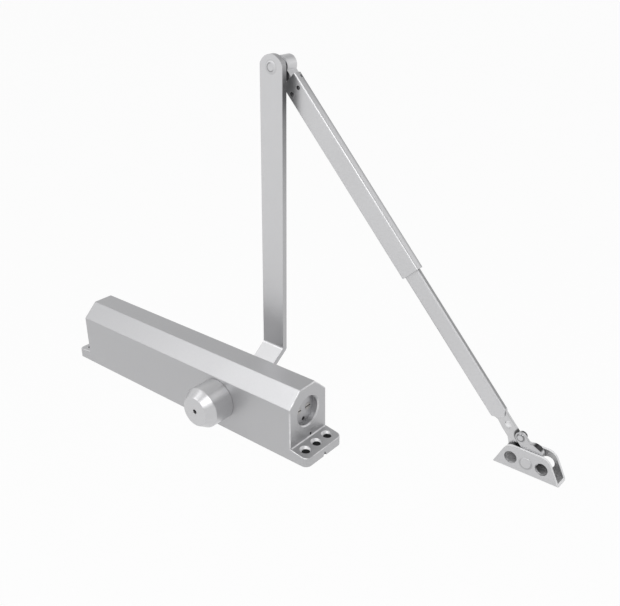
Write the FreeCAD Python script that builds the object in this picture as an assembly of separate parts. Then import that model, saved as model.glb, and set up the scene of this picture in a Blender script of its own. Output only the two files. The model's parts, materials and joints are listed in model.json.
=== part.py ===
"""Hydraulic door closer, in millimetres.

A rack-and-pinion closer lies on its mounting face. X runs along the body, Y along the spindle with the
arm on the +Y side, and Z points away from the mounting face. The origin is the centre of that face.
"""
import FreeCAD, Part
import math
import os

Vector = FreeCAD.Vector
X = Vector(1, 0, 0)
Y = Vector(0, 1, 0)
Z = Vector(0, 0, 1)
ORIGIN = Vector(0, 0, 0)

# Running and assembly clearances
running_gap = 0.05
fit_gap = 0.02
side_gap = 0.1

# Body casting
body_length = 245.6
body_width = 43.0
body_height = 56.0
shoulder_height = 44.2
top_flat_width = 17.6
casting_edge = 1.4
end_edge = 1.3
foot_fillet = 1.2
flange_reach = 16.2
flange_root = 9.9
flange_tip = 7.4
flange_corner = 5.0
flange_edge = 0.8
boss_radius = 15.0
boss_height = 3.0

# Flange holes, centring notch and the small drilled mark at the foot of each end wall
hole_radius = 3.2
hole_mouth = 4.3
hole_sink = 1.5
hole_setback = 8.0
hole_pitch = 13.0
notch_width = 3.4
notch_height = 4.0
notch_depth = 1.4
mark_radius = 1.1
mark_depth = 3.0
mark_side = 2.5

# Rack and pinion
module = 2.0
pinion_teeth = 8
pressure_angle = 25.0
pinion_addendum = 1.6
rack_addendum = 1.2
tooth_clearance = 0.4
backlash = 0.16
pinion_face = 18.0
rack_face = 16.0
arm_swing = 180.0

# Spindle, its bearings and glands
spindle_setback = 75.8
spindle_height = 25.6
journal_radius = 7.0
square_flats = 10.0
square_corner_radius = 6.4
square_lead = 1.5
bearing_radius = 12.4
bearing_length = 4.5
seal_radius = 10.6
seal_thickness = 2.4
gland_proud = 2.0
gland_slot_width = 3.0
gland_slot_depth = 1.5
cover_spindle_reach = 8.0

# Cylinder, plugs and seals
bore_radius = 15.0
plug_radius = 16.4
valve_plug_radius = 12.0
plug_length = 14.0
plug_recess = 5.0
rim_chamfer = 1.0
ring_section = 1.3
spanner_hole_radius = 1.6
spanner_hole_depth = 4.0
spanner_hole_pitch = 8.6

# Regulating valves in the right-hand plug
valve_radius = 3.0
valve_tip_radius = 1.4
valve_length = 12.0
valve_pitch = 11.0
valve_slot_width = 0.9
valve_slot_depth = 1.0
valve_ring_section = 0.7

# Piston with its check valve, and the return spring
piston_head = 15.0
pinion_run = 12.0
seal_groove_width = 2.6
seal_groove_depth = 1.6
check_drop = 8.0
check_chamber_radius = 4.0
check_chamber_depth = 9.0
check_ball_radius = 3.0
check_port_radius = 2.0
check_retainer_length = 2.0
spring_wire_radius = 2.1
spring_turns = 9.0

# Spindle cover on the front
cover_radius = 17.0
cover_rim = 18.0
cover_length = 25.5
cover_front_radius = 12.2
cover_face_wall = 2.0
cover_hole_radius = 1.9

# Main arm
arm_length = 249.0
arm_lean = 1.4
arm_width = 21.8
arm_thickness = 4.5
arm_gap = 4.5
arm_offset = 14.0
arm_eye_radius = 13.0
arm_end_reach = 9.2
arm_end_radius = 11.6
crank_top = 20.9
crank_drop = 10.4
crank_bend = 3.0
arm_screw_radius = 3.0
arm_screw_depth = 14.0
arm_screw_flats = 11.0
arm_screw_head = 4.5
arm_screw_chamfer = 0.8
arm_screw_socket_flats = 5.0
arm_screw_socket_depth = 2.6
arm_washer_radius = 6.6
arm_washer_thickness = 1.5
spindle_end_inset = 0.5

# Elbow
elbow_gap = 4.5
rivet_radius = 4.0
rivet_head_radius = 4.8
rivet_head_height = 0.6
rivet_dimple_radius = 2.8
rivet_dimple_depth = 0.35
bush_radius = 6.0
eye_radius = 7.1
eye_thickness = 10.7
neck_width = 5.8
shank_length = 40.0

# Forearm sleeve, rod and clamp screw
forearm_reach = 333.5
forearm_angle = 48.0
sleeve_start = 12.5
sleeve_end = 179.0
sleeve_width = 16.8
sleeve_depth = 7.4
sleeve_wall = 1.1
sleeve_edge = 1.5
stake_along = 22.3
stake_across = 4.0
stake_radius = 1.6
stake_depth = 3.2
upper_stake_along = 15.9
upper_stake_shift = 1.6
upper_stake_radius = 1.3
rod_start = 95.0
tongue_reach = 39.8
rod_point = 4.8
rod_width = 14.2
rod_depth = 4.4
rod_wall = 1.0
rod_edge = 2.0
clamp_setback = 16.0
clamp_radius = 2.5
clamp_head_radius = 4.5
clamp_head_height = 3.0
clamp_slot_width = 1.2
clamp_slot_depth = 1.4

# Rod tongue and lug
tongue_insert = 26.0
tongue_upper_edge = 6.0
tongue_neck_drop = 3.6
tongue_waist = 4.3
tongue_waist_start = 10.6
tongue_waist_end = 3.9
tongue_foot_ahead = 1.6
tongue_foot_drop = 8.7
tongue_heel_ahead = 5.4
tongue_heel_side = 1.8
tongue_corner_radius = 3.4
tongue_dimple_radius = 3.0
tongue_dimple_height = 1.0
lug_thickness = 2.0
lug_rivet_back = 17.4
lug_rivet_side = 6.4
lug_end_radius = 4.1
lug_heel_back = 3.7
lug_heel_side = 7.8
lug_heel_radius = 7.0
lug_eye_radius = 6.4
lug_rivet_radius = 2.4
lug_rivet_head = 3.2
lug_rivet_head_height = 0.7

# Shoe
shoe_length = 50.0
shoe_top_length = 31.0
shoe_height = 19.2
shoe_width = 13.4
shoe_offset = 1.2
shoe_wall = 2.2
shoe_corner = 8.0
shoe_bend = 2.0
shoe_pin_height = 9.6
shoe_hole_radius = 4.7
shoe_hole_pitch = 23.2
shoe_pin_radius = 3.0
shoe_pin_head = 4.7
shoe_pin_head_height = 0.4

# Values that follow from the sizes above
half_length = body_length / 2
half_width = body_width / 2
half_overall = half_length + flange_reach
spindle_along = half_length - spindle_setback
pitch_radius = module * pinion_teeth / 2
tip_radius = pitch_radius + pinion_addendum
root_radius = pitch_radius - rack_addendum - tooth_clearance
tooth_pitch = math.pi * module
stroke = pitch_radius * math.radians(arm_swing)
bore_height = spindle_height + pitch_radius
boss_face = half_width + boss_height
bearing_inner = bore_radius + side_gap
bearing_outer = bearing_inner + bearing_length
gland_face = boss_face + gland_proud
arm_low_front = gland_face + arm_gap
arm_low_back = arm_low_front + arm_thickness
arm_front = arm_low_front + arm_offset
arm_back = arm_front + arm_thickness
sleeve_front = arm_back + elbow_gap
forearm_plane = sleeve_front + sleeve_depth / 2
plug_outer = half_length - plug_recess
plug_inner = plug_outer - plug_length
window_left = spindle_along - pinion_run
window_right = spindle_along + stroke + pinion_run
piston_left = window_left - piston_head
piston_right = window_right + piston_head
piston_radius = bore_radius - running_gap
rack_root = bore_height + pinion_addendum + tooth_clearance
tongue_thickness = rod_depth - 2 * rod_wall - side_gap
tongue_front = forearm_plane - tongue_thickness / 2
tongue_back = forearm_plane + tongue_thickness / 2
lug_front = tongue_front - lug_thickness
rod_end = forearm_reach - tongue_reach
shoe_front = forearm_plane + shoe_offset - shoe_width / 2
shoe_back = shoe_front + shoe_width
spindle_axis = Vector(spindle_along, 0, spindle_height)
bore_axis = Vector(0, 0, bore_height)


def elbow_place():
    """Pivot of the elbow, in the plane of the arms."""
    lean = math.radians(arm_lean)
    return Vector(spindle_along + arm_length * math.sin(lean), 0, spindle_height + arm_length * math.cos(lean))


def shoe_place():
    """Pivot of the shoe, at the end of the forearm."""
    angle = math.radians(forearm_angle)
    reach = Vector(math.cos(angle), 0, -math.sin(angle)) * forearm_reach
    return elbow_place() + reach


def cylinder(radius, start, end, axis, centre=ORIGIN):
    """Round bar along an axis, between two places measured on that axis."""
    return Part.makeCylinder(radius, end - start, centre + axis * start, axis)


def ring(outer, inner, start, end, axis, centre=ORIGIN):
    return cylinder(outer, start, end, axis, centre).cut(cylinder(inner, start, end, axis, centre))


def box(low, high):
    size = high - low
    return Part.makeBox(size.x, size.y, size.z, low)


def polygon(points):
    return Part.Face(Part.makePolygon(points + points[:1]))


def prism(points, depth):
    return polygon(points).extrude(depth)


def hexagon(flats, start, end, axis, centre):
    """Six-sided bar along an axis."""
    corner = flats / math.sqrt(3)
    side = axis.cross(Z) if abs(axis.z) < 0.5 else X
    up = axis.cross(side)
    points = []
    for step in range(6):
        turn = math.radians(60 * step)
        points.append(centre + axis * start + side * (corner * math.cos(turn)) + up * (corner * math.sin(turn)))
    return prism(points, axis * (end - start))


def revolve(profile, axis, centre):
    """Turned piece from (distance along the axis, radius) points."""
    side = axis.cross(Z) if abs(axis.z) < 0.5 else X
    points = [centre + axis * along + side * radius for along, radius in profile]
    return polygon(points).revolve(centre, axis, 360)


def round_edges(shape, radius, direction, test):
    """Fillet the straight edges along a direction that pass a test of their middle point."""
    edges = []
    for edge in shape.Edges:
        if edge.Curve.TypeId != "Part::GeomLine":
            continue
        if abs(abs(edge.tangentAt(edge.FirstParameter).dot(direction)) - 1) > 1e-6:
            continue
        if test(edge.CenterOfMass):
            edges.append(edge)
    return shape.makeFillet(radius, edges)


def round_boxed(shape, radius, test):
    """Fillet the edges whose bounding box passes a test."""
    return shape.makeFillet(radius, [edge for edge in shape.Edges if test(edge.BoundBox)])


def in_forearm(shape):
    """Carry a piece from the forearm's own frame, X along it from the elbow, to its place."""
    placed = shape.copy()
    placed.rotate(ORIGIN, Y, forearm_angle)
    placed.translate(elbow_place())
    return placed


def in_arm(shape):
    """Carry a piece from the arm's own upright frame, about the spindle, to its place."""
    placed = shape.copy()
    placed.rotate(ORIGIN, Y, arm_lean)
    placed.translate(spindle_axis)
    return placed


def make_flange():
    """Base plate whose two ends slope down to a thinner tip with rounded corners."""
    low = Vector(-half_overall, -half_width, 0)
    high = Vector(half_overall, half_width, flange_root)
    plate = box(low, high)
    for side in (1, -1):
        wedge = prism([Vector(side * half_length, -half_width, flange_root),
                       Vector(side * half_overall, -half_width, flange_root),
                       Vector(side * half_overall, -half_width, flange_tip)], Y * body_width)
        plate = plate.cut(wedge)
    plate = round_edges(plate, flange_corner, Z, lambda p: abs(p.x) > half_length)
    rim = []
    for edge in plate.Edges:
        middle = edge.valueAt((edge.FirstParameter + edge.LastParameter) / 2)
        if abs(middle.x) > half_length + flange_corner and flange_tip - 0.1 < middle.z < flange_root:
            rim.append(edge)
    return plate.makeFillet(flange_edge, rim)


def make_casting_block():
    """Long block with chamfered shoulders."""
    half_top = top_flat_width / 2
    section = [Vector(-half_length, -half_width, 0), Vector(-half_length, half_width, 0),
               Vector(-half_length, half_width, shoulder_height), Vector(-half_length, half_top, body_height),
               Vector(-half_length, -half_top, body_height), Vector(-half_length, -half_width, shoulder_height)]
    block = prism(section, X * body_length)
    block = round_edges(block, casting_edge, X, lambda p: p.z > shoulder_height / 2)
    return round_boxed(block, end_edge, lambda b: b.XLength < fit_gap and b.ZMax > flange_root)


def wall_foot(side):
    """Bar with a hollow rounded face that blends an end wall into the sloping flange."""
    slope = (flange_root - flange_tip) / flange_reach
    lean = math.hypot(1, slope)
    front = -half_width + end_edge
    centre = Vector(half_length + foot_fillet, front, flange_root + foot_fillet * (lean - slope))
    on_wall = centre - X * foot_fillet
    on_flange = centre - Vector(slope, 0, 1) * (foot_fillet / lean)
    under = flange_root - 2 * foot_fillet
    inside = half_length - foot_fillet
    points = [on_flange, Vector(on_flange.x, front, under), Vector(inside, front, under),
              Vector(inside, front, on_wall.z), on_wall]
    edges = [line(first, second) for first, second in zip(points, points[1:])]
    edges.append(arc(centre, foot_fillet, on_wall, on_flange))
    bar = Part.Face(Part.Wire(edges)).extrude(Y * (body_width - 2 * end_edge))
    return bar if side > 0 else bar.mirror(ORIGIN, X)


def closer_body():
    """Casting with its flanges, cylinder bore, cross bore and fixing holes."""
    shape = make_casting_block().fuse([make_flange(), wall_foot(1), wall_foot(-1)]).removeSplitter()
    shape = shape.fuse(cylinder(boss_radius, -boss_face, boss_face, Y, spindle_axis))
    shape = shape.cut(cylinder(bore_radius, -plug_inner, plug_inner, X, bore_axis))
    cross_radius = bearing_radius + fit_gap
    shape = shape.cut(cylinder(cross_radius, -boss_face, boss_face, Y, spindle_axis))
    for side, seat_radius in ((1, valve_plug_radius + fit_gap), (-1, plug_radius + fit_gap)):
        way = X * side
        shape = shape.cut(cylinder(seat_radius, plug_inner, half_length, way, bore_axis))
        rim = Part.makeCone(seat_radius, seat_radius + rim_chamfer, rim_chamfer,
                            bore_axis + way * (half_length - rim_chamfer), way)
        shape = shape.cut(rim)
        for step in (-1, 0, 1):
            foot = Vector(side * (half_length + hole_setback), step * hole_pitch, 0)
            shape = shape.cut(cylinder(hole_radius, 0, flange_root, Z, foot))
            drop = (flange_root - flange_tip) * hole_setback / flange_reach
            mouth = foot + Z * (flange_root - drop - hole_sink)
            shape = shape.cut(Part.makeCone(hole_radius, 2 * hole_mouth - hole_radius, 2 * hole_sink, mouth, Z))
        tip = side * half_overall
        notch = prism([Vector(tip, -notch_width / 2, 0), Vector(tip, notch_width / 2, 0),
                       Vector(tip, 0, notch_height)], way * -notch_depth)
        shape = shape.cut(notch)
        mark = Vector(0, mark_side, flange_root + 2 * mark_radius)
        shape = shape.cut(cylinder(mark_radius, half_length - mark_depth, half_length, way, mark))
    return shape.removeSplitter()


def plug_blank(way, radius):
    """Threaded end plug with a groove for its sealing ring."""
    blank = cylinder(radius, plug_inner, plug_outer, way, bore_axis)
    groove_start = plug_inner + 2 * ring_section
    groove = ring(radius, radius - 2 * ring_section, groove_start,
                  groove_start + 2 * ring_section, way, bore_axis)
    return blank.cut(groove)


def plug_seal(way, radius):
    """Round sealing ring in the plug's groove."""
    centre = bore_axis + way * (plug_inner + 3 * ring_section)
    section = ring_section - fit_gap
    return Part.makeTorus(radius - ring_section, section, centre, way)


def spanner_holes(way):
    """Two blind holes for a pin spanner in the outer face of a plug."""
    holes = []
    for side in (1, -1):
        hole = bore_axis + Z * (side * spanner_hole_pitch)
        holes.append(cylinder(spanner_hole_radius, plug_outer - spanner_hole_depth, plug_outer, way, hole))
    return holes


def spring_end_plug():
    return plug_blank(-X, plug_radius).cut(spanner_holes(-X))


def valve_axis(side):
    return bore_axis + Y * (side * valve_pitch / 2)


def valve_end_plug():
    """Right-hand plug, bored for the two regulating valves and for a pin spanner."""
    blank = plug_blank(X, valve_plug_radius)
    for side in (1, -1):
        seat = plug_outer - valve_length
        blank = blank.cut(cylinder(valve_radius + running_gap, seat, plug_outer, X, valve_axis(side)))
        blank = blank.cut(cylinder(valve_tip_radius, plug_inner, seat, X, valve_axis(side)))
    return blank.cut(spanner_holes(X))


def regulating_valve(side):
    """Slotted needle screw with a ring groove."""
    centre = valve_axis(side)
    seat = plug_outer - valve_length
    taper = valve_radius - valve_tip_radius
    neck = seat + taper + side_gap
    profile = [(seat + side_gap, 0), (seat + side_gap, valve_tip_radius), (neck, valve_radius),
               (plug_outer, valve_radius), (plug_outer, 0)]
    screw = revolve(profile, X, centre)
    slot_start = plug_outer - valve_slot_depth
    half_slot = valve_slot_width / 2
    slot = box(centre + Vector(slot_start, -valve_radius, -half_slot), centre + Vector(plug_outer, valve_radius, half_slot))
    middle = plug_outer - valve_length / 2
    groove = ring(valve_radius, valve_radius - 2 * valve_ring_section, middle - valve_ring_section,
                  middle + valve_ring_section, X, centre)
    return screw.cut(slot).cut(groove)


def valve_seal(side):
    centre = valve_axis(side) + X * (plug_outer - valve_length / 2)
    return Part.makeTorus(valve_radius - valve_ring_section, valve_ring_section - fit_gap, centre, X)


def bearing(side):
    inner = journal_radius + running_gap
    return ring(bearing_radius, inner, bearing_inner, bearing_outer, Y * side, spindle_axis)


def shaft_seal(side):
    end = bearing_outer + seal_thickness
    return ring(seal_radius - fit_gap, journal_radius + running_gap, bearing_outer, end, Y * side, spindle_axis)


def gland_nut(side):
    """Screwed ring that holds the bearing and its seal, with four spanner slots."""
    way = Y * side
    nut = ring(bearing_radius, journal_radius + 2 * side_gap, bearing_outer, gland_face, way, spindle_axis)
    nut = nut.cut(cylinder(seal_radius, bearing_outer, bearing_outer + seal_thickness, way, spindle_axis))
    half_slot = gland_slot_width / 2
    for step in (0, 1):
        along, across = (X, Z) if step == 0 else (Z, X)
        start = way * (gland_face - gland_slot_depth) - along * bearing_radius - across * half_slot
        end = way * gland_face + along * bearing_radius + across * half_slot
        low = Vector(min(start.x, end.x), min(start.y, end.y), min(start.z, end.z))
        high = Vector(max(start.x, end.x), max(start.y, end.y), max(start.z, end.z))
        nut = nut.cut(box(spindle_axis + low, spindle_axis + high))
    return nut


def spindle_cover():
    """Hollow turned cover over the unused spindle end, with a tapered front and a small centre hole."""
    way = -Y
    rim = half_width + cover_rim
    front = half_width + cover_length
    wall = cover_radius - boss_radius - fit_gap
    inner = boss_radius + fit_gap
    outer_profile = [(half_width, 0), (half_width, cover_radius), (rim, cover_radius), (front, cover_front_radius),
                     (front, 0)]
    floor = front - cover_face_wall
    hollow_profile = [(half_width, 0), (half_width, inner), (rim - wall, inner),
                      (floor, cover_front_radius - wall), (floor, 0)]
    cover = revolve(outer_profile, way, spindle_axis).cut(revolve(hollow_profile, way, spindle_axis))
    return cover.cut(cylinder(cover_hole_radius, floor, front, way, spindle_axis))


def involute(base, radius, start_angle, hand):
    """Spline along an involute flank, from the base circle to the tip."""
    points = []
    steps = 5
    for step in range(steps):
        at = base + (radius - base) * step / (steps - 1)
        roll = math.sqrt(max(at * at / (base * base) - 1, 0))
        angle = start_angle + hand * (roll - math.atan(roll))
        points.append(Vector(at * math.sin(angle), 0, at * math.cos(angle)))
    curve = Part.BSplineCurve()
    curve.interpolate(points)
    return curve.toShape(), points[0], points[-1]


def polar(radius, angle):
    return Vector(radius * math.sin(angle), 0, radius * math.cos(angle))


def pinion_gear():
    """Toothed length of the spindle, one tooth pointing straight at the rack."""
    pressure = math.radians(pressure_angle)
    base = pitch_radius * math.cos(pressure)
    half_tooth = math.pi / (2 * pinion_teeth) - backlash / (2 * pitch_radius)
    flank_start = half_tooth + math.tan(pressure) - pressure
    edges = []
    step_angle = 2 * math.pi / pinion_teeth
    for tooth in range(pinion_teeth):
        middle = tooth * step_angle
        left, left_base, left_tip = involute(base, tip_radius, middle - flank_start, 1)
        right, right_base, right_tip = involute(base, tip_radius, middle + flank_start, -1)
        left_root = polar(root_radius, middle - flank_start)
        right_root = polar(root_radius, middle + flank_start)
        next_root = polar(root_radius, middle + step_angle - flank_start)
        gap_middle = polar(root_radius, middle + step_angle / 2)
        edges += [Part.LineSegment(left_root, left_base).toShape(), left,
                  Part.Arc(left_tip, polar(tip_radius, middle), right_tip).toShape(), right,
                  Part.LineSegment(right_base, right_root).toShape(),
                  Part.Arc(right_root, gap_middle, next_root).toShape()]
    outline = Part.Wire(Part.__sortEdges__(edges))
    gear = Part.Face(outline).extrude(Y * pinion_face)
    gear.translate(spindle_axis - Y * (pinion_face / 2))
    return gear


def square_end(side, end):
    """Square drive with its corners turned down."""
    start = gland_face + square_lead
    half = square_flats / 2
    way = Y * side
    bar = cylinder(square_corner_radius, start, end, way, spindle_axis)
    low = min(side * start, side * end)
    high = max(side * start, side * end)
    block = box(spindle_axis + Vector(-half, low, -half), spindle_axis + Vector(half, high, half))
    return bar.common(block)


def pinion_spindle():
    """Spindle with its pinion, two journals, and a square drive at each end."""
    shape = pinion_gear()
    square_start = gland_face + square_lead
    arm_end = arm_low_back - spindle_end_inset
    for side, end in ((1, arm_end), (-1, gland_face + cover_spindle_reach)):
        shape = shape.fuse(cylinder(journal_radius, pinion_face / 2, square_start, Y * side, spindle_axis))
        shape = shape.fuse(square_end(side, end))
    tapped = cylinder(arm_screw_radius + fit_gap, arm_end - arm_screw_depth, arm_end, Y, spindle_axis)
    return shape.cut(tapped).removeSplitter()


def rack_teeth():
    """Straight teeth that hang from the piston's bridge and mesh with the pinion."""
    lean = math.tan(math.radians(pressure_angle))
    half_tooth = tooth_pitch / 4 - backlash / 2
    tip = bore_height - rack_addendum
    half_tip = half_tooth - rack_addendum * lean
    half_root = half_tooth + (rack_root - bore_height) * lean
    teeth = []
    centre = spindle_along + tooth_pitch / 2
    while centre - tooth_pitch - half_root > window_left:
        centre -= tooth_pitch
    while centre + half_root < window_right:
        outline = [Vector(centre - half_tip, -rack_face / 2, tip), Vector(centre + half_tip, -rack_face / 2, tip),
                   Vector(centre + half_root, -rack_face / 2, rack_root),
                   Vector(centre - half_root, -rack_face / 2, rack_root)]
        teeth.append(prism(outline, Y * rack_face))
        centre += tooth_pitch
    return teeth


def check_axis():
    return bore_axis - Z * check_drop


def rack_piston():
    """Piston with two heads, a toothed bridge over the pinion, and a check-valve chamber."""
    shape = cylinder(piston_radius, piston_left, piston_right, X, bore_axis)
    window = box(Vector(window_left, -bore_radius, bore_height - bore_radius), Vector(window_right, bore_radius, rack_root))
    shape = shape.cut(window)
    for tooth in rack_teeth():
        shape = shape.fuse(tooth)
    groove_end = piston_right - piston_head / 2
    shape = shape.cut(ring(bore_radius, piston_radius - seal_groove_depth, groove_end - seal_groove_width, groove_end,
                           X, bore_axis))
    chamber_start = piston_right - check_chamber_depth
    shape = shape.cut(cylinder(check_chamber_radius, chamber_start, piston_right, X, check_axis()))
    return shape.cut(cylinder(check_port_radius, window_right, chamber_start, X, check_axis())).removeSplitter()


def piston_seal():
    end = piston_right - piston_head / 2 - fit_gap
    start = end - seal_groove_width + 2 * fit_gap
    inner = piston_radius - seal_groove_depth + fit_gap
    return ring(piston_radius, inner, start, end, X, bore_axis)


def check_ball():
    """Ball that seats on the port at the bottom of its chamber."""
    rise = math.sqrt(check_ball_radius ** 2 - check_port_radius ** 2)
    along = piston_right - check_chamber_depth + rise + fit_gap
    return Part.makeSphere(check_ball_radius, check_axis() + X * along)


def check_retainer():
    outer = check_chamber_radius - fit_gap
    return ring(outer, check_port_radius, piston_right - check_retainer_length, piston_right, X, check_axis())


def return_spring():
    """Round-wire compression spring between the left plug and the piston."""
    start = -plug_inner + spring_wire_radius + side_gap
    height = piston_left - spring_wire_radius - side_gap - start
    mean = bore_radius - spring_wire_radius - 4 * side_gap
    pitch = height / spring_turns
    path = Part.Wire(Part.makeHelix(pitch, height, mean))
    lead = math.atan2(pitch, 2 * math.pi * mean)
    along_wire = Vector(0, math.cos(lead), math.sin(lead))
    section = Part.Wire(Part.makeCircle(spring_wire_radius, Vector(mean, 0, 0), along_wire))
    coil = path.makePipeShell([section], True, True)
    coil.rotate(ORIGIN, Y, 90)
    coil.translate(bore_axis + X * start)
    return coil


def crank_profile():
    """Side outline of the arm: a low flat by the body, a sloping crank and the long outer flat."""
    top = arm_length + arm_end_reach
    low_end = -arm_eye_radius
    rise = crank_drop
    run = arm_offset
    slope = math.hypot(rise, run)
    shift = arm_thickness * (slope - rise) / run
    upper = crank_top
    lower = crank_top - crank_drop
    return [Vector(0, arm_low_front, low_end), Vector(0, arm_low_front, lower), Vector(0, arm_front, upper),
            Vector(0, arm_front, top), Vector(0, arm_back, top), Vector(0, arm_back, upper - shift),
            Vector(0, arm_low_back, lower - shift), Vector(0, arm_low_back, low_end)]


def arm_outline():
    """Front outline of the arm: round eye at the spindle, parallel bar and a blunt round end."""
    half = arm_width / 2
    top = arm_length + arm_end_reach
    centre = top - arm_end_radius
    bar = box(Vector(-half, arm_low_front, 0), Vector(half, arm_back, centre))
    end = box(Vector(-half, arm_low_front, centre), Vector(half, arm_back, top))
    end = end.common(cylinder(arm_end_radius, arm_low_front, arm_back, Y, Z * centre))
    eye = cylinder(arm_eye_radius, arm_low_front, arm_low_back, Y)
    return bar.fuse([end, eye]).removeSplitter()


def main_arm():
    """Flat bar, cranked out near the spindle so that it clears the body."""
    half = arm_eye_radius
    band = prism([point - X * half for point in crank_profile()], X * (2 * half))
    upper = crank_top
    lower = crank_top - crank_drop

    def at_bend(point):
        return lower - arm_thickness < point.z < upper + 0.1 and abs(point.x) < 0.1

    inner_bends = round_edges(band, crank_bend, X, at_bend)
    shape = inner_bends.common(arm_outline())
    half_square = square_flats / 2 + running_gap
    hole = box(Vector(-half_square, arm_low_front, -half_square), Vector(half_square, arm_low_back, half_square))
    corner_turn = cylinder(square_corner_radius + running_gap, arm_low_front, arm_low_back, Y)
    shape = shape.cut(hole.common(corner_turn))
    shape = shape.cut(cylinder(rivet_radius, arm_front, arm_back, Y, Z * arm_length))
    return in_arm(shape.removeSplitter())


def arm_washer():
    hole = arm_screw_radius + side_gap
    return ring(arm_washer_radius, hole, arm_low_back, arm_low_back + arm_washer_thickness, Y, spindle_axis)


def arm_screw():
    """Hexagon-head screw with a socket, that draws the arm on to the square."""
    seat = arm_low_back + arm_washer_thickness
    top = seat + arm_screw_head
    arm_end = arm_low_back - spindle_end_inset
    shape = cylinder(arm_screw_radius, arm_end - arm_screw_depth + side_gap, seat, Y, spindle_axis)
    corner = arm_screw_flats / math.sqrt(3)
    crown = revolve([(seat, 0), (seat, corner), (top - arm_screw_chamfer, corner), (top, corner - 2 * arm_screw_chamfer),
                     (top, 0)], Y, spindle_axis)
    shape = shape.fuse(hexagon(arm_screw_flats, seat, top, Y, spindle_axis).common(crown))
    return shape.cut(hexagon(arm_screw_socket_flats, top - arm_screw_socket_depth, top, Y, spindle_axis))


def elbow_rivet():
    """Headed rivet through the arm, the spacer bush and the elbow link."""
    eye_back = sleeve_front + sleeve_wall + side_gap + eye_thickness + side_gap
    front = arm_front - rivet_head_height
    back = eye_back + 2 * rivet_head_height
    crown = rivet_head_radius * 0.7
    profile = [(front, 0), (front, crown), (arm_front, rivet_head_radius), (arm_front, rivet_radius),
               (eye_back, rivet_radius), (eye_back, bush_radius), (back, bush_radius - rivet_head_height), (back, 0)]
    rivet = revolve(profile, Y, elbow_place())
    dimple = Part.makeCone(rivet_dimple_radius, 0, rivet_dimple_depth, elbow_place() + Y * front, Y)
    return rivet.cut(dimple)


def elbow_bush():
    """Spacer between the arm and the elbow link."""
    end = sleeve_front + sleeve_wall
    return ring(bush_radius, rivet_radius + fit_gap, arm_back, end, Y, elbow_place())


def elbow_link():
    """Thick eye on the rivet with a narrow neck and a flat shank staked in the sleeve."""
    front = sleeve_front + sleeve_wall + side_gap
    shank_back = sleeve_front + sleeve_depth - sleeve_wall - side_gap
    half = sleeve_width / 2 - sleeve_wall - side_gap
    eye = cylinder(eye_radius, front, front + eye_thickness, Y)
    neck_end = sleeve_start - side_gap
    neck = box(Vector(0, front, -neck_width / 2), Vector(neck_end, front + eye_thickness, neck_width / 2))
    root = box(Vector(0, front, -neck_width / 2), Vector(shank_length, shank_back, neck_width / 2))
    shank = box(Vector(sleeve_start + sleeve_wall, front, -half), Vector(shank_length, shank_back, half))
    link = eye.fuse(neck).fuse(root).fuse(shank)
    link = link.cut(cylinder(rivet_radius + running_gap, front, front + eye_thickness, Y))
    for stake in stakes():
        link = link.cut(stake)
    return in_forearm(link.removeSplitter())


def stakes():
    """Punched holes that hold the link in the sleeve."""
    marks = []
    for side in (1, -1):
        centre = Vector(stake_along, 0, side * stake_across)
        marks.append(cylinder(stake_radius, sleeve_front, sleeve_front + stake_depth, Y, centre))
    top = sleeve_width / 2
    upper = Vector(upper_stake_along, forearm_plane + upper_stake_shift, 0)
    marks.append(cylinder(upper_stake_radius, top - stake_depth, top, Z, upper))
    return marks


def flat_tube(start, end, width, depth, wall, edge, front):
    """Rectangular tube with rounded long edges."""
    outer = box(Vector(start, front, -width / 2), Vector(end, front + depth, width / 2))
    outer = round_edges(outer, edge, X, lambda p: True)
    inner = box(Vector(start, front + wall, wall - width / 2), Vector(end, front + depth - wall, width / 2 - wall))
    return outer.cut(inner)


def clamp_along():
    return sleeve_end - clamp_setback


def forearm_sleeve():
    """Outer half of the adjustable forearm."""
    tube = flat_tube(sleeve_start, sleeve_end, sleeve_width, sleeve_depth, sleeve_wall, sleeve_edge, sleeve_front)
    for stake in stakes():
        tube = tube.cut(stake)
    back = sleeve_front + sleeve_depth
    hole = cylinder(clamp_radius + fit_gap, back - sleeve_wall, back, Y, X * clamp_along())
    return in_forearm(tube.cut(hole))


def rod_front():
    return forearm_plane - rod_depth / 2


def forearm_rod():
    """Inner half of the forearm: a flat tube with a pointed end that grips the tongue."""
    tip = rod_end + rod_point
    tube = flat_tube(rod_start, tip, rod_width, rod_depth, rod_wall, rod_edge, rod_front())
    half = rod_width / 2
    front = rod_front()
    lower = prism([Vector(rod_end, front, -half), Vector(tip, front, -half), Vector(tip, front, half / 8)], Y * rod_depth)
    upper = prism([Vector(rod_end, front, half), Vector(tip, front, half), Vector(tip, front, half / 2)], Y * rod_depth)
    return in_forearm(tube.cut(lower).cut(upper))


def clamp_screw():
    """Slotted screw in the back of the sleeve that holds the rod at its length."""
    back = sleeve_front + sleeve_depth
    top = back + clamp_head_height
    tip = rod_front() + rod_depth + running_gap
    centre = X * clamp_along()
    screw = cylinder(clamp_radius, tip, back, Y, centre).fuse(cylinder(clamp_head_radius, back, top, Y, centre))
    half_slot = clamp_slot_width / 2
    slot = box(centre + Vector(-half_slot, top - clamp_slot_depth, -clamp_head_radius),
               centre + Vector(half_slot, top, clamp_head_radius))
    return in_forearm(screw.cut(slot))


def tangent(start, end, start_radius, end_radius):
    """Ends of the outer tangent of two circles, on the left of the way from one to the other."""
    line = end - start
    along = line * (1 / line.Length)
    across = Vector(-along.z, 0, along.x)
    lean = (start_radius - end_radius) / line.Length
    normal = along * lean + across * math.sqrt(1 - lean * lean)
    return start + normal * start_radius, end + normal * end_radius


def arc(centre, radius, start, end):
    """Arc of less than half a turn about a centre."""
    middle = (start - centre) + (end - centre)
    return Part.Arc(start, centre + middle * (radius / middle.Length), end).toShape()


def line(start, end):
    return Part.LineSegment(start, end).toShape()


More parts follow.
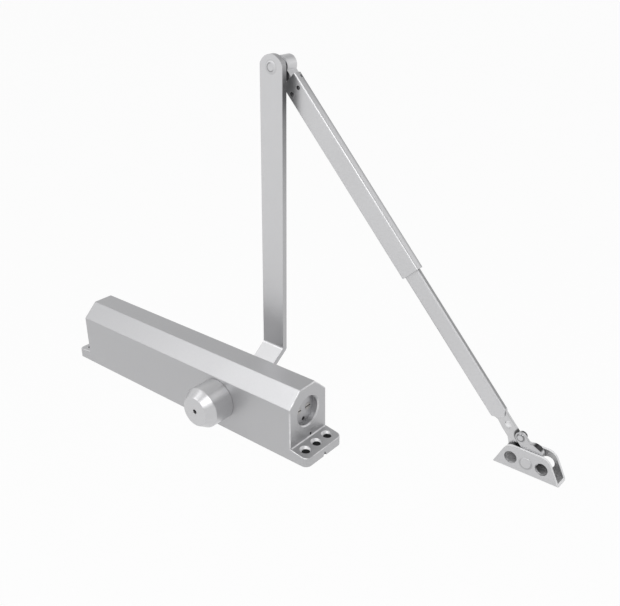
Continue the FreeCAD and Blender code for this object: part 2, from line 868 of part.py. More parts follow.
def plate_from(edges, front, back):
    """Flat plate from the edges of its outline."""
    plate = Part.Face(Part.Wire(Part.__sortEdges__(edges))).extrude(Y * (back - front))
    plate.translate(Y * front)
    return plate


def lug_rivet_place():
    return Vector(forearm_reach - lug_rivet_back, 0, lug_rivet_side)


def shoe_pivot():
    return Vector(forearm_reach, 0, 0)


def tongue_edges():
    """Outline of the tongue: a shank inside the rod, a waisted neck, a flared foot and a round rivet corner."""
    half = rod_width / 2 - rod_wall - side_gap
    rivet = lug_rivet_place()
    drop = lug_rivet_side - tongue_upper_edge
    corner = Vector(rivet.x - math.sqrt(tongue_corner_radius ** 2 - drop ** 2), 0, tongue_upper_edge)
    crest = rivet + Z * tongue_corner_radius
    heel = Vector(rivet.x + tongue_heel_ahead, 0, tongue_heel_side)
    touch = tangent(rivet, heel, tongue_corner_radius, 0)[0]
    points = [corner, Vector(rod_end, 0, half), Vector(rod_end - tongue_insert, 0, half),
              Vector(rod_end - tongue_insert, 0, -half), Vector(rod_end, 0, -half),
              Vector(rod_end + rod_point, 0, -tongue_neck_drop),
              Vector(rivet.x - tongue_waist_start, 0, -tongue_waist),
              Vector(rivet.x - tongue_waist_end, 0, -tongue_waist),
              Vector(rivet.x + tongue_foot_ahead, 0, -tongue_foot_drop), heel, touch]
    edges = [line(first, second) for first, second in zip(points, points[1:])]
    edges += [arc(rivet, tongue_corner_radius, touch, crest), arc(rivet, tongue_corner_radius, crest, corner)]
    return edges


def tongue_dimple():
    """Low round swelling pressed out of the front of the tongue."""
    place = Vector((rod_end + lug_rivet_place().x) / 2, tongue_front, tongue_upper_edge / 3)
    sphere_radius = (tongue_dimple_radius ** 2 + tongue_dimple_height ** 2) / (2 * tongue_dimple_height)
    sphere = Part.makeSphere(sphere_radius, place + Y * (sphere_radius - tongue_dimple_height))
    corner = Vector(sphere_radius, tongue_dimple_height, sphere_radius)
    return sphere.common(box(place - corner, place + Vector(sphere_radius, 0, sphere_radius)))


def rod_tongue():
    """Pressed plate held in the rod, with a narrow neck and a rivet hole for the lug."""
    plate = plate_from(tongue_edges(), tongue_front, tongue_back)
    plate = plate.cut(cylinder(lug_rivet_radius, tongue_front, tongue_back, Y, lug_rivet_place()))
    return in_forearm(plate.fuse(tongue_dimple()))


def oval_edges(first, second, first_radius, second_radius):
    """Outline round two circles."""
    along = (second - first).normalize()
    first_left, second_left = tangent(first, second, first_radius, second_radius)
    second_right, first_right = tangent(second, first, second_radius, first_radius)
    first_end = first - along * first_radius
    second_end = second + along * second_radius
    return [line(first_left, second_left), arc(second, second_radius, second_left, second_end),
            arc(second, second_radius, second_end, second_right), line(second_right, first_right),
            arc(first, first_radius, first_right, first_end), arc(first, first_radius, first_end, first_left)]


def end_lug():
    """Link from the tongue's rivet to the shoe pin: a thin strap with a thick eye."""
    rivet = lug_rivet_place()
    heel = Vector(forearm_reach - lug_heel_back, 0, lug_heel_side)
    pivot = shoe_pivot()
    eye = plate_from(oval_edges(heel, pivot, lug_heel_radius, lug_eye_radius), lug_front, tongue_back)
    root = Vector(heel.x, 0, rivet.z)
    strap = plate_from(oval_edges(rivet, root, lug_end_radius, lug_end_radius), lug_front, tongue_front)
    lug = eye.fuse(strap).removeSplitter()
    lug = lug.cut(cylinder(lug_rivet_radius, lug_front, tongue_front, Y, rivet))
    return in_forearm(lug.cut(cylinder(shoe_pin_radius + running_gap, lug_front, tongue_back, Y, pivot)))


def lug_rivet():
    front = lug_front - lug_rivet_head_height
    back = tongue_back + lug_rivet_head_height
    crown = lug_rivet_head * 0.7
    profile = [(front, 0), (front, crown), (lug_front, lug_rivet_head), (lug_front, lug_rivet_radius),
               (tongue_back, lug_rivet_radius), (tongue_back, lug_rivet_head), (back, crown), (back, 0)]
    return in_forearm(revolve(profile, Y, lug_rivet_place()))


def shoe_bracket():
    """Folded channel: a web underneath and two tapered ears with holes."""
    half_foot = shoe_length / 2
    half_top = shoe_top_length / 2
    foot = -shoe_pin_height
    top = shoe_height - shoe_pin_height
    outline = [Vector(-half_foot, shoe_front, foot), Vector(half_foot, shoe_front, foot),
               Vector(half_top, shoe_front, top), Vector(-half_top, shoe_front, top)]
    shape = round_edges(prism(outline, Y * shoe_width), shoe_corner, Y, lambda p: p.z > 0)
    shape = round_edges(shape, shoe_bend, X, lambda p: p.z < 0)
    inside = box(Vector(-half_foot, shoe_front + shoe_wall, foot + shoe_wall), Vector(half_foot, shoe_back - shoe_wall, top))
    shape = shape.cut(inside)
    for side in (1, -1):
        hole = X * (side * shoe_hole_pitch / 2)
        shape = shape.cut(cylinder(shoe_hole_radius, shoe_front, shoe_back, Y, hole))
    shape = shape.cut(cylinder(shoe_pin_radius, shoe_front, shoe_back, Y))
    shape.translate(shoe_place())
    return shape


def shoe_pin():
    """Pin with a low head on each ear."""
    front = shoe_front - shoe_pin_head_height
    back = shoe_back + shoe_pin_head_height
    edge = shoe_pin_head - shoe_pin_head_height
    profile = [(front, 0), (front, edge), (shoe_front, shoe_pin_head), (shoe_front, shoe_pin_radius),
               (shoe_back, shoe_pin_radius), (shoe_back, shoe_pin_head), (back, edge), (back, 0)]
    return revolve(profile, Y, shoe_place())


def pin_washer():
    """Spacer that fills the shoe behind the lug."""
    end = shoe_back - shoe_wall - side_gap
    return ring(shoe_pin_head, shoe_pin_radius + running_gap, tongue_back + side_gap, end, Y, shoe_place())


pieces = {
    "closer_body": closer_body(),
    "spring_end_plug": spring_end_plug(),
    "spring_end_seal": plug_seal(-X, plug_radius),
    "valve_end_plug": valve_end_plug(),
    "valve_end_seal": plug_seal(X, valve_plug_radius),
    "closing_valve": regulating_valve(1),
    "closing_valve_seal": valve_seal(1),
    "latching_valve": regulating_valve(-1),
    "latching_valve_seal": valve_seal(-1),
    "front_bearing": bearing(-1),
    "rear_bearing": bearing(1),
    "front_shaft_seal": shaft_seal(-1),
    "rear_shaft_seal": shaft_seal(1),
    "front_gland_nut": gland_nut(-1),
    "rear_gland_nut": gland_nut(1),
    "spindle_cover": spindle_cover(),
    "pinion_spindle": pinion_spindle(),
    "rack_piston": rack_piston(),
    "piston_seal": piston_seal(),
    "check_ball": check_ball(),
    "check_retainer": check_retainer(),
    "return_spring": return_spring(),
    "main_arm": main_arm(),
    "arm_washer": arm_washer(),
    "arm_screw": arm_screw(),
    "elbow_rivet": elbow_rivet(),
    "elbow_bush": elbow_bush(),
    "elbow_link": elbow_link(),
    "forearm_sleeve": forearm_sleeve(),
    "clamp_screw": clamp_screw(),
    "forearm_rod": forearm_rod(),
    "rod_tongue": rod_tongue(),
    "end_lug": end_lug(),
    "lug_rivet": lug_rivet(),
    "shoe_bracket": shoe_bracket(),
    "shoe_pin": shoe_pin(),
    "pin_washer": pin_washer(),
}

os.makedirs("parts", exist_ok=True)
for name, shape in pieces.items():
    shape.exportStep(os.path.join("parts", name + ".step"))
    print(name, len(shape.Solids), shape.isValid(), round(shape.Volume, 1))
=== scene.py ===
"""Looks of the hydraulic door closer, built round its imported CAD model.

Metres, in the CAD frame: X along the body, -Y towards the spindle cover, Z up from the mounting face.
"""
import json
import math

import bpy
from bpy.props import FloatProperty, FloatVectorProperty, PointerProperty
from bpy.types import Operator, Panel, PropertyGroup
from mathutils import Matrix, Vector


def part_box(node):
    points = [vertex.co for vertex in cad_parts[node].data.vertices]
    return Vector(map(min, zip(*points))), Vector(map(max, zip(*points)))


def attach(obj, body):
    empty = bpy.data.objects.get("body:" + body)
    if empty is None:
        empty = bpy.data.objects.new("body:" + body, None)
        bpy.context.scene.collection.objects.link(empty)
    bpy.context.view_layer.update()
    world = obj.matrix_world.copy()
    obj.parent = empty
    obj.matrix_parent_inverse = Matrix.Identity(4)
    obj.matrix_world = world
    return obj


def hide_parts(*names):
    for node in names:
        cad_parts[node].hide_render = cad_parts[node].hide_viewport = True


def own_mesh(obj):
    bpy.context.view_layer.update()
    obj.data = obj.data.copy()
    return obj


bl_info = {
    "name": "Hydraulic Door Closer",
    "version": (1, 0, 0),
    "blender": (4, 5, 0),
    "location": "3D View > Sidebar > Closer",
    "description": "Dresses the packed CAD model of a rack-and-pinion door closer",
    "category": "Add Mesh",
}

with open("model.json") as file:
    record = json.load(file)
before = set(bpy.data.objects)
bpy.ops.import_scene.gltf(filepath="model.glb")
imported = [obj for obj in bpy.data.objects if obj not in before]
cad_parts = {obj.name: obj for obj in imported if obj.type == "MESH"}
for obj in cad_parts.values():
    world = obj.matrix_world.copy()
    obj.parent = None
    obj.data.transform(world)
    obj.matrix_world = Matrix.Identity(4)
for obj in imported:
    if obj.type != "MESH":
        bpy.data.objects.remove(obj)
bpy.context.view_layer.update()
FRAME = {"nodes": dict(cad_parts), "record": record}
NODES = FRAME["nodes"]
MM = 0.001
ALONG_X = (1, 0, 0)
ALONG_Y = (0, 1, 0)
ALONG_Z = (0, 0, 1)

# Slot 0 is a piece's main finish and slot 1 its rounded edges. The other slots differ between pieces.
# Slot 1 also serves as painted highlights along edges, and slots 2 to 4 mostly carry painted shade.
EDGE_SLOT = 1
BORE_SLOT = 2
SHADE_SLOT = 2
SIDE_SLOT = 2
INSIDE_SLOT = 3
DULL_SLOT = 3
MOUTH_SLOT = 4
UPPER_SLOT = 4

# Part of a face's normal that lies along a direction: nearly all of it, or hardly any
SQUARE_ON = 0.9
HARDLY = 0.3

# Most of a noise field lies between these values
NOISE_LOW = 0.3
NOISE_HIGH = 0.7

SMOOTH_BELOW = math.radians(40)
FLANGE_REACH = 16.2 * MM
FLANGE_ROOT = 9.9 * MM
JOINTS = {joint["name"]: joint for joint in FRAME["record"]["behaviour"]["joints"]}
ELBOW = Vector(JOINTS["elbow_fold"]["pos_m"])
SHOE_PIVOT = Vector(JOINTS["shoe_pivot"]["pos_m"])
FOREARM_WAY = Vector(JOINTS["rod_extend"]["axis"])
FOREARM_UP = Vector((-FOREARM_WAY.z, 0, FOREARM_WAY.x))


# Settings

class CloserCamera(PropertyGroup):
    """Where the photograph was taken from."""

    lens: FloatProperty(name="Lens", description="Focal length on a 36 mm wide sensor", unit="CAMERA",
                        default=47.06)
    place: FloatVectorProperty(name="Place", description="Camera position", size=3, subtype="XYZ",
                               default=(0.45541, -0.3985, 0.37276))
    azimuth: FloatProperty(name="Azimuth", description="Turn of the view about Z", subtype="ANGLE",
                           default=math.radians(39.64))
    elevation: FloatProperty(name="Elevation", description="Height of the view above the horizon",
                             subtype="ANGLE", default=math.radians(25.57))
    roll: FloatProperty(name="Roll", description="Turn of the picture about the line of sight",
                        subtype="ANGLE", default=math.radians(-0.42))


class CloserStage(PropertyGroup):
    """Floor and light."""

    floor_colour: FloatVectorProperty(name="Floor", description="Pale floor and backdrop", size=3,
                                      subtype="COLOR", default=(0.90, 0.90, 0.90))
    floor_size: FloatProperty(name="Floor size", description="Width of the flat floor", unit="LENGTH",
                              default=16.0)
    floor_sweep: FloatProperty(name="Floor sweep", description="Height that the floor's rim sweeps up to",
                               unit="LENGTH", default=5.0)
    floor_drop: FloatProperty(name="Floor drop", unit="LENGTH", default=0.70,
                              description="Depth of the floor, clear of the arms at every swing")
    floor_glow: FloatProperty(name="Floor glow", subtype="FACTOR", default=0.93,
                              description="Share of plain white in what shows of the floor")
    key_power: FloatProperty(name="Key lamp", description="Large soft lamp at the upper left", unit="POWER",
                             default=8.0)
    key_size: FloatProperty(name="Key size", description="Side of the large soft lamp", unit="LENGTH",
                            default=1.2)
    key_place: FloatVectorProperty(name="Key place", description="Position of the large soft lamp", size=3,
                                   subtype="XYZ", default=(-0.79, -1.23, 1.40))
    edge_power: FloatProperty(name="Edge lamp", unit="POWER", default=4.5,
                              description="Small lamp above the camera that picks out the edges")
    edge_size: FloatProperty(name="Edge lamp size", description="Side of the small lamp", unit="LENGTH",
                             default=0.8)
    edge_place: FloatVectorProperty(name="Edge lamp place", description="Position of the small lamp",
                                    size=3, subtype="XYZ", default=(0.66, -0.66, 0.95))
    rim_power: FloatProperty(name="Rim lamp", unit="POWER", default=2.2,
                             description="Weak lamp behind that lights the forearm's upper side")
    rim_size: FloatProperty(name="Rim lamp size", description="Side of the lamp behind", unit="LENGTH",
                            default=1.0)
    rim_place: FloatVectorProperty(name="Rim lamp place", description="Position of the lamp behind", size=3,
                                   subtype="XYZ", default=(0.85, 1.10, 0.99))
    sky_back: FloatProperty(name="Sky behind", description="Even light from behind the closer",
                            default=0.20)
    sky_front: FloatProperty(name="Sky in front", description="Even light from in front of the closer",
                             default=0.95)
    sky_way: FloatVectorProperty(name="Bright side", description="Where the sky is brightest", size=3,
                                 subtype="DIRECTION", default=(-0.80, -0.50, 0.33))


class CloserFinish(PropertyGroup):
    """Colours and edge rounding of the finishes."""

    paint: FloatVectorProperty(name="Silver paint", description="Satin silver paint of the cast body",
                               size=3, subtype="COLOR", default=(0.48, 0.48, 0.49))
    arm_paint: FloatVectorProperty(name="Arm paint", description="Lighter silver paint of the arms", size=3,
                                   subtype="COLOR", default=(0.63, 0.63, 0.64))
    # Darker copy of the arm paint for the narrow side, painted shade.
    arm_side_shade: FloatVectorProperty(name="Arm side", description="Handled paint along the arm's narrow side",
                                  size=3, subtype="COLOR", default=(0.47, 0.47, 0.48))
    cover_paint: FloatVectorProperty(name="Cover paint", description="Paint of the spindle cover and shoe",
                                     size=3, subtype="COLOR", default=(0.58, 0.58, 0.59))
    # Darker paint along the rod's crowns, painted shade.
    rod_crown_shade: FloatVectorProperty(name="Rod edge", size=3, subtype="COLOR",
                                        description="Scuffed paint along the rod's rounded edges",
                                        default=(0.40, 0.40, 0.405))
    # Light colour of rubbed edges and hole mouths, also standing in for painted highlights.
    rubbed_highlight: FloatVectorProperty(name="Rubbed edge", description="Metal that shows where an edge is rubbed",
                                size=3, subtype="COLOR", default=(0.80, 0.80, 0.81))
    # Dark paint of the plug recesses, painted shade.
    inside: FloatVectorProperty(name="Inside paint", description="Thin paint in the plug recesses", size=3,
                                subtype="COLOR", default=(0.20, 0.20, 0.205))
    # Inside paint of the shoe, darkened towards the bottom as painted shade.
    shoe_inside: FloatVectorProperty(name="Shoe inside", description="Thin paint inside the shoe", size=3,
                                     subtype="COLOR", default=(0.58, 0.58, 0.585))
    # Near black laid over finishes as painted shade in gaps, under parts and beside the pivots.
    shade_black: FloatVectorProperty(name="Grease", description="Dark grease about the pivots", size=3,
                                subtype="COLOR", default=(0.02, 0.02, 0.021))
    # Near black of hole and stake walls, painted shade.
    bore_shade: FloatVectorProperty(name="Bare bore", description="Drilled walls that the spray did not reach",
                              size=3, subtype="COLOR", default=(0.035, 0.035, 0.038))
    plated: FloatVectorProperty(name="Plated steel", description="Plated lug, rivet, washers and screws",
                                size=3, subtype="COLOR", default=(0.55, 0.55, 0.56))
    # Tongue plating at full strength only on its dimple, as a painted highlight; the rest is darkened.
    tongue: FloatVectorProperty(name="Tongue plating", description="Bright plating of the rod's tongue",
                                size=3, subtype="COLOR", default=(0.80, 0.80, 0.81))
    turned: FloatVectorProperty(name="Turned steel", description="Plugs, nuts, spindle and bearings",
                                size=3, subtype="COLOR", default=(0.42, 0.42, 0.43))
    needle: FloatVectorProperty(name="Valve steel", description="Regulating valves", size=3,
                                subtype="COLOR", default=(0.40, 0.39, 0.38))
    iron: FloatVectorProperty(name="Iron", description="Machined piston", size=3, subtype="COLOR",
                              default=(0.26, 0.26, 0.27))
    wire: FloatVectorProperty(name="Spring wire", description="Oiled spring wire", size=3, subtype="COLOR",
                              default=(0.16, 0.16, 0.17))
    rubber: FloatVectorProperty(name="Rubber", description="Seals", size=3, subtype="COLOR",
                                default=(0.02, 0.02, 0.02))
    casting_edge: FloatProperty(name="Casting edge", description="Rounding of the casting's sharp edges",
                                default=0.5 * MM, unit="LENGTH", precision=5)
    bar_edge: FloatProperty(name="Bar edge", description="Rounding of the arm and tube edges",
                            default=0.35 * MM, unit="LENGTH", precision=5)
    sheet_edge: FloatProperty(name="Sheet edge", description="Rounding of the shoe's pressed edges",
                              default=0.6 * MM, unit="LENGTH", precision=5)
    turned_edge: FloatProperty(name="Turned edge", description="Rounding of rivet, screw and plug edges",
                               default=0.2 * MM, unit="LENGTH", precision=5)


def finishes():
    """The user's settings of the finishes."""
    return bpy.context.scene.closer_finish


# Shader helpers

def start_material(name):
    """New node material, its Principled shader and its Object coordinates."""
    material = bpy.data.materials.new(name)
    material.use_nodes = True
    tree = material.node_tree
    shader = tree.nodes["Principled BSDF"]
    place = tree.nodes.new("ShaderNodeTexCoord")
    return material, tree, shader, place.outputs["Object"]


def noise_field(tree, place, scale, detail):
    """Even noise, with its scale in features to the metre."""
    field = tree.nodes.new("ShaderNodeTexNoise")
    field.inputs["Scale"].default_value = scale
    field.inputs["Detail"].default_value = detail
    tree.links.new(place, field.inputs["Vector"])
    return field.outputs["Fac"]


def colour_from(tree, field, colour, spread):
    """Colour that varies a little darker and lighter than the given one."""
    ramp = tree.nodes.new("ShaderNodeValToRGB")
    dark, light = ramp.color_ramp.elements
    dark.position = NOISE_LOW
    light.position = NOISE_HIGH
    dark.color = (*(channel * (1 - spread) for channel in colour), 1)
    light.color = (*(channel * (1 + spread) for channel in colour), 1)
    tree.links.new(field, ramp.inputs["Fac"])
    return ramp.outputs["Color"]


def number_from(tree, field, low, high):
    """Number that follows a noise field from one value to another."""
    spread = tree.nodes.new("ShaderNodeMapRange")
    spread.inputs["From Min"].default_value = NOISE_LOW
    spread.inputs["From Max"].default_value = NOISE_HIGH
    spread.inputs["To Min"].default_value = low
    spread.inputs["To Max"].default_value = high
    tree.links.new(field, spread.inputs["Value"])
    return spread.outputs["Result"]


def bump_from(tree, field, depth, strength, under=None):
    """Bump of a field, on its own or over another bump."""
    bump = tree.nodes.new("ShaderNodeBump")
    bump.inputs["Distance"].default_value = depth
    bump.inputs["Strength"].default_value = strength
    tree.links.new(field, bump.inputs["Height"])
    if under is not None:
        tree.links.new(under, bump.inputs["Normal"])
    return bump.outputs["Normal"]


def link_finish(tree, shader, colour, roughness, normal):
    """Lead a finish's colour, roughness and bump into its shader."""
    tree.links.new(colour, shader.inputs["Base Color"])
    tree.links.new(roughness, shader.inputs["Roughness"])
    tree.links.new(normal, shader.inputs["Normal"])


def silver_paint(name, colour, grain, ripple, roughness=0.40):
    """Satin metallic paint: fine flake, slight orange peel and a slow ripple of the metal under it."""
    material, tree, shader, place = start_material(name)
    flake = noise_field(tree, place, scale=2600.0, detail=2.0)
    cloud = noise_field(tree, place, scale=22.0, detail=3.0)
    peel = noise_field(tree, place, scale=700.0, detail=2.0)
    slow = noise_field(tree, place, scale=45.0, detail=2.0)
    tint = tree.nodes.new("ShaderNodeMix")
    tint.data_type = "RGBA"
    tint.blend_type = "MULTIPLY"
    tint.inputs["Factor"].default_value = 1.0
    tree.links.new(colour_from(tree, flake, colour, spread=grain), tint.inputs["A"])
    tree.links.new(colour_from(tree, cloud, colour=(0.98, 0.98, 0.98), spread=0.02), tint.inputs["B"])
    patchy = 0.04
    metal = bump_from(tree, slow, depth=0.15 * MM, strength=ripple)
    link_finish(tree, shader,
                colour=tint.outputs["Result"],
                roughness=number_from(tree, cloud, low=roughness - patchy, high=roughness + patchy),
                normal=bump_from(tree, peel, depth=0.02 * MM, strength=0.35, under=metal))
    shader.inputs["Metallic"].default_value = 0.8
    shader.inputs["Coat Weight"].default_value = 0.1
    shader.inputs["Coat Roughness"].default_value = 0.25
    return material


def bar_paint(name, colour, roughness=0.40):
    """Silver paint on smooth bar and sheet, with a finer flake than on the casting."""
    return silver_paint(name, colour, grain=0.04, ripple=0.12, roughness=roughness)


def rubbed_highlight_paint(name, colour, metal, shine=0.85):
    """Paint on an edge, rubbed through to brighter metal in short stretches, also standing in for painted
    edge highlights. Shine is how metallic it is.
    """
    material, tree, shader, place = start_material(name)
    rub = noise_field(tree, place, scale=160.0, detail=4.0)
    grain = noise_field(tree, place, scale=1500.0, detail=2.0)
    show = tree.nodes.new("ShaderNodeMix")
    show.data_type = "RGBA"
    show.inputs["A"].default_value = (*colour, 1)
    show.inputs["B"].default_value = (*metal, 1)
    tree.links.new(number_from(tree, rub, low=0.1, high=0.9), show.inputs["Factor"])
    link_finish(tree, shader,
                colour=show.outputs["Result"],
                roughness=number_from(tree, rub, low=0.42, high=0.30),
                normal=bump_from(tree, grain, depth=0.01 * MM, strength=0.3))
    shader.inputs["Metallic"].default_value = shine
    return material


def shaded_bore(name, colour):
    """Near-black wall, painted shade in holes and on faces that lie in shadow."""
    material, tree, shader, place = start_material(name)
    stain = noise_field(tree, place, scale=500.0, detail=3.0)
    link_finish(tree, shader,
                colour=colour_from(tree, stain, colour, spread=0.35),
                roughness=number_from(tree, stain, low=0.55, high=0.75),
                normal=bump_from(tree, stain, depth=0.03 * MM, strength=0.4))
    shader.inputs["Metallic"].default_value = 0.5
    return material


def plated_steel(name, colour):
    """Bright zinc plating with a faint mottle."""
    material, tree, shader, place = start_material(name)
    mottle = noise_field(tree, place, scale=260.0, detail=4.0)
    grain = noise_field(tree, place, scale=1800.0, detail=2.0)
    link_finish(tree, shader,
                colour=colour_from(tree, mottle, colour, spread=0.05),
                roughness=number_from(tree, mottle, low=0.18, high=0.26),
                normal=bump_from(tree, grain, depth=0.005 * MM, strength=0.15))
    shader.inputs["Metallic"].default_value = 1.0
    return material


def turned_steel(name, colour, centre, turn):
    """Machined face with fine tool rings about the piece's own axis."""
    material, tree, shader, place = start_material(name)
    middle = tree.nodes.new("ShaderNodeMapping")
    middle.vector_type = "TEXTURE"
    middle.inputs["Location"].default_value = centre
    middle.inputs["Rotation"].default_value = turn
    tree.links.new(place, middle.inputs["Vector"])
    rings = tree.nodes.new("ShaderNodeTexWave")
    rings.wave_type = "RINGS"
    rings.rings_direction = "Z"
    rings.inputs["Scale"].default_value = 420.0
    rings.inputs["Distortion"].default_value = 0.4
    tree.links.new(middle.outputs["Vector"], rings.inputs["Vector"])
    mottle = noise_field(tree, place, scale=300.0, detail=3.0)
    link_finish(tree, shader,
                colour=colour_from(tree, mottle, colour, spread=0.08),
                roughness=number_from(tree, mottle, low=0.28, high=0.40),
                normal=bump_from(tree, rings.outputs["Fac"], depth=0.02 * MM, strength=0.3))
    shader.inputs["Metallic"].default_value = 1.0
    return material


def machined_metal(name, colour, roughness):
    """Plain machined metal with an even fine grain."""
    material, tree, shader, place = start_material(name)
    grain = noise_field(tree, place, scale=900.0, detail=4.0)
    stain = noise_field(tree, place, scale=60.0, detail=3.0)
    uneven = 0.06
    link_finish(tree, shader,
                colour=colour_from(tree, stain, colour, spread=0.10),
                roughness=number_from(tree, grain, low=roughness - uneven, high=roughness + uneven),
                normal=bump_from(tree, grain, depth=0.015 * MM, strength=0.3))
    shader.inputs["Metallic"].default_value = 1.0
    return material


def seal_rubber(name, colour):
    """Matt black rubber."""
    material, tree, shader, place = start_material(name)
    grain = noise_field(tree, place, scale=1200.0, detail=3.0)
    link_finish(tree, shader,
                colour=colour_from(tree, grain, colour, spread=0.3),
                roughness=number_from(tree, grain, low=0.55, high=0.75),
                normal=bump_from(tree, grain, depth=0.02 * MM, strength=0.3))
    return material


def fade_out(tree, value, full, none, strength):
    """Share that has its whole strength at one value and beyond, and fades to nothing at another."""
    fade = tree.nodes.new("ShaderNodeMapRange")
    fade.interpolation_type = "SMOOTHSTEP"
    fade.inputs["From Min"].default_value = full
    fade.inputs["From Max"].default_value = none
    fade.inputs["To Min"].default_value = strength
    fade.inputs["To Max"].default_value = 0.0
    tree.links.new(value, fade.inputs["Value"])
    return fade.outputs["Result"]


def share_about(material, axis_point, full, none, strength, radius=0.0):
    """Share of a finish near an axis along Y, or near a circle about that axis."""
    tree = material.node_tree
    place = tree.nodes["Texture Coordinate"].outputs["Object"]
    offset = tree.nodes.new("ShaderNodeVectorMath")
    offset.operation = "SUBTRACT"
    offset.inputs[1].default_value = axis_point
    tree.links.new(place, offset.inputs[0])
    flat = tree.nodes.new("ShaderNodeVectorMath")
    flat.operation = "MULTIPLY"
    flat.inputs[1].default_value = (1, 0, 1)
    tree.links.new(offset.outputs["Vector"], flat.inputs[0])
    length = tree.nodes.new("ShaderNodeVectorMath")
    length.operation = "LENGTH"
    tree.links.new(flat.outputs["Vector"], length.inputs[0])
    distance = tree.nodes.new("ShaderNodeMath")
    distance.operation = "SUBTRACT"
    distance.inputs[1].default_value = radius
    tree.links.new(length.outputs["Value"], distance.inputs[0])
    apart = tree.nodes.new("ShaderNodeMath")
    apart.operation = "ABSOLUTE"
    tree.links.new(distance.outputs["Value"], apart.inputs[0])
    return fade_out(tree, apart.outputs["Value"], full, none, strength)


def share_along(material, way, full, none, strength):
    """Share of a finish that fades along a straight way."""
    tree = material.node_tree
    place = tree.nodes["Texture Coordinate"].outputs["Object"]
    travel = tree.nodes.new("ShaderNodeVectorMath")
    travel.operation = "DOT_PRODUCT"
    travel.inputs[1].default_value = way
    tree.links.new(place, travel.inputs[0])
    return fade_out(tree, travel.outputs["Value"], full, none, strength)


def add_painted_shade(material, *shares):
    """Darken part of a finish towards near black as painted shade, where all the given shares overlap."""
    tree = material.node_tree
    share = shares[0]
    for other in shares[1:]:
        overlap = tree.nodes.new("ShaderNodeMath")
        overlap.operation = "MULTIPLY"
        tree.links.new(share, overlap.inputs[0])
        tree.links.new(other, overlap.inputs[1])
        share = overlap.outputs["Value"]
    colour = tree.nodes["Principled BSDF"].inputs["Base Color"]
    cover = tree.nodes.new("ShaderNodeMix")
    cover.data_type = "RGBA"
    tree.links.new(colour.links[0].from_socket, cover.inputs["A"])
    cover.inputs["B"].default_value = (*finishes().shade_black, 1)
    tree.links.new(share, cover.inputs["Factor"])
    tree.links.new(cover.outputs["Result"], colour)


# Modelling helpers

def deselect_all():
    if bpy.context.mode != "OBJECT":
        bpy.ops.object.mode_set(mode="OBJECT")
    bpy.ops.object.select_all(action="DESELECT")


def select_only(piece):
    deselect_all()
    piece.select_set(True)
    bpy.context.view_layer.objects.active = piece


def clean_copy(node):
    """Copy of a CAD node with merged corners and clean flat faces."""
    piece = bpy.data.objects.new(node + "_finished", NODES[node].data.copy())
    bpy.context.scene.collection.objects.link(piece)
    select_only(piece)
    bpy.ops.object.mode_set(mode="EDIT")
    bpy.ops.mesh.customdata_custom_splitnormals_clear()
    bpy.ops.mesh.select_all(action="SELECT")
    bpy.ops.mesh.remove_doubles(threshold=1e-6)
    bpy.ops.mesh.dissolve_limited(angle_limit=math.radians(0.2))
    bpy.ops.object.mode_set(mode="OBJECT")
    return piece


def round_edges(piece, edge, sharpness=32):
    """Round the edges of a piece that turn by more than the given degrees, and shade it smoothly."""
    select_only(piece)
    bpy.ops.object.mode_set(mode="EDIT")
    bpy.ops.mesh.select_all(action="DESELECT")
    bpy.ops.mesh.select_mode(type="EDGE")
    bpy.ops.mesh.edges_select_sharp(sharpness=math.radians(sharpness))
    bpy.ops.mesh.bevel(offset=edge, segments=2, profile=0.5, clamp_overlap=True, material=EDGE_SLOT)
    bpy.ops.object.mode_set(mode="OBJECT")
    bpy.ops.object.shade_smooth_by_angle(angle=SMOOTH_BELOW)
    bpy.ops.object.modifier_add(type="WEIGHTED_NORMAL")
    shading = piece.modifiers[-1]
    shading.keep_sharp = True
    bpy.ops.object.modifier_apply(modifier=shading.name)


def dress(piece, *materials):
    """Give a piece its materials, kept in the order of the slots that its faces name."""
    slots = piece.data.materials
    while len(slots) > len(materials):
        slots.pop()
    while len(slots) < len(materials):
        slots.append(None)
    for index, material in enumerate(materials):
        slots[index] = material


def turn_faces_to(piece, slot, test):
    """Give the faces that pass a test of their centre and normal another of the piece's materials."""
    for face in piece.data.polygons:
        if test(face.center, face.normal):
            face.material_index = slot


def flat_distance(first, second):
    """Distance of two places as seen along Y."""
    return math.hypot(first.x - second.x, first.z - second.z)


def pull_corners(piece, corners, reach):
    """Move the corners of a piece that lie at the given places."""
    near = 0.05 * MM
    select_only(piece)
    bpy.ops.object.mode_set(mode="EDIT")
    bpy.ops.mesh.select_mode(type="VERT")
    bpy.ops.mesh.select_all(action="DESELECT")
    bpy.ops.object.mode_set(mode="OBJECT")
    for vertex in piece.data.vertices:
        vertex.select = any(flat_distance(vertex.co, corner) < near for corner in corners)
    bpy.ops.object.mode_set(mode="EDIT")
    bpy.ops.transform.translate(value=reach)
    bpy.ops.object.mode_set(mode="OBJECT")


def node_body(node):
    """Name of the moving body that a CAD node belongs to."""
    for body, members in FRAME["record"]["behaviour"]["bodies"].items():
        if node in members:
            return body
    raise RuntimeError("no body holds " + node)


def node_middle(node):
    """Middle of a CAD node's box."""
    low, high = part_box(node)
    return (low + high) / 2


def place_piece(piece, node):
    """Let a finished piece stand for its CAD node and ride where the node rides."""
    body = node_body(node)
    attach(piece, body)
    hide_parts(node)


def finish_nodes(nodes, edge, *materials):
    """Round and paint a group of like CAD nodes: the face's material first, then the edge's."""
    pieces = []
    for node in nodes:
        piece = clean_copy(node)
        round_edges(piece, edge)
        dress(piece, *materials)
        place_piece(piece, node)
        pieces.append(piece)
    return pieces


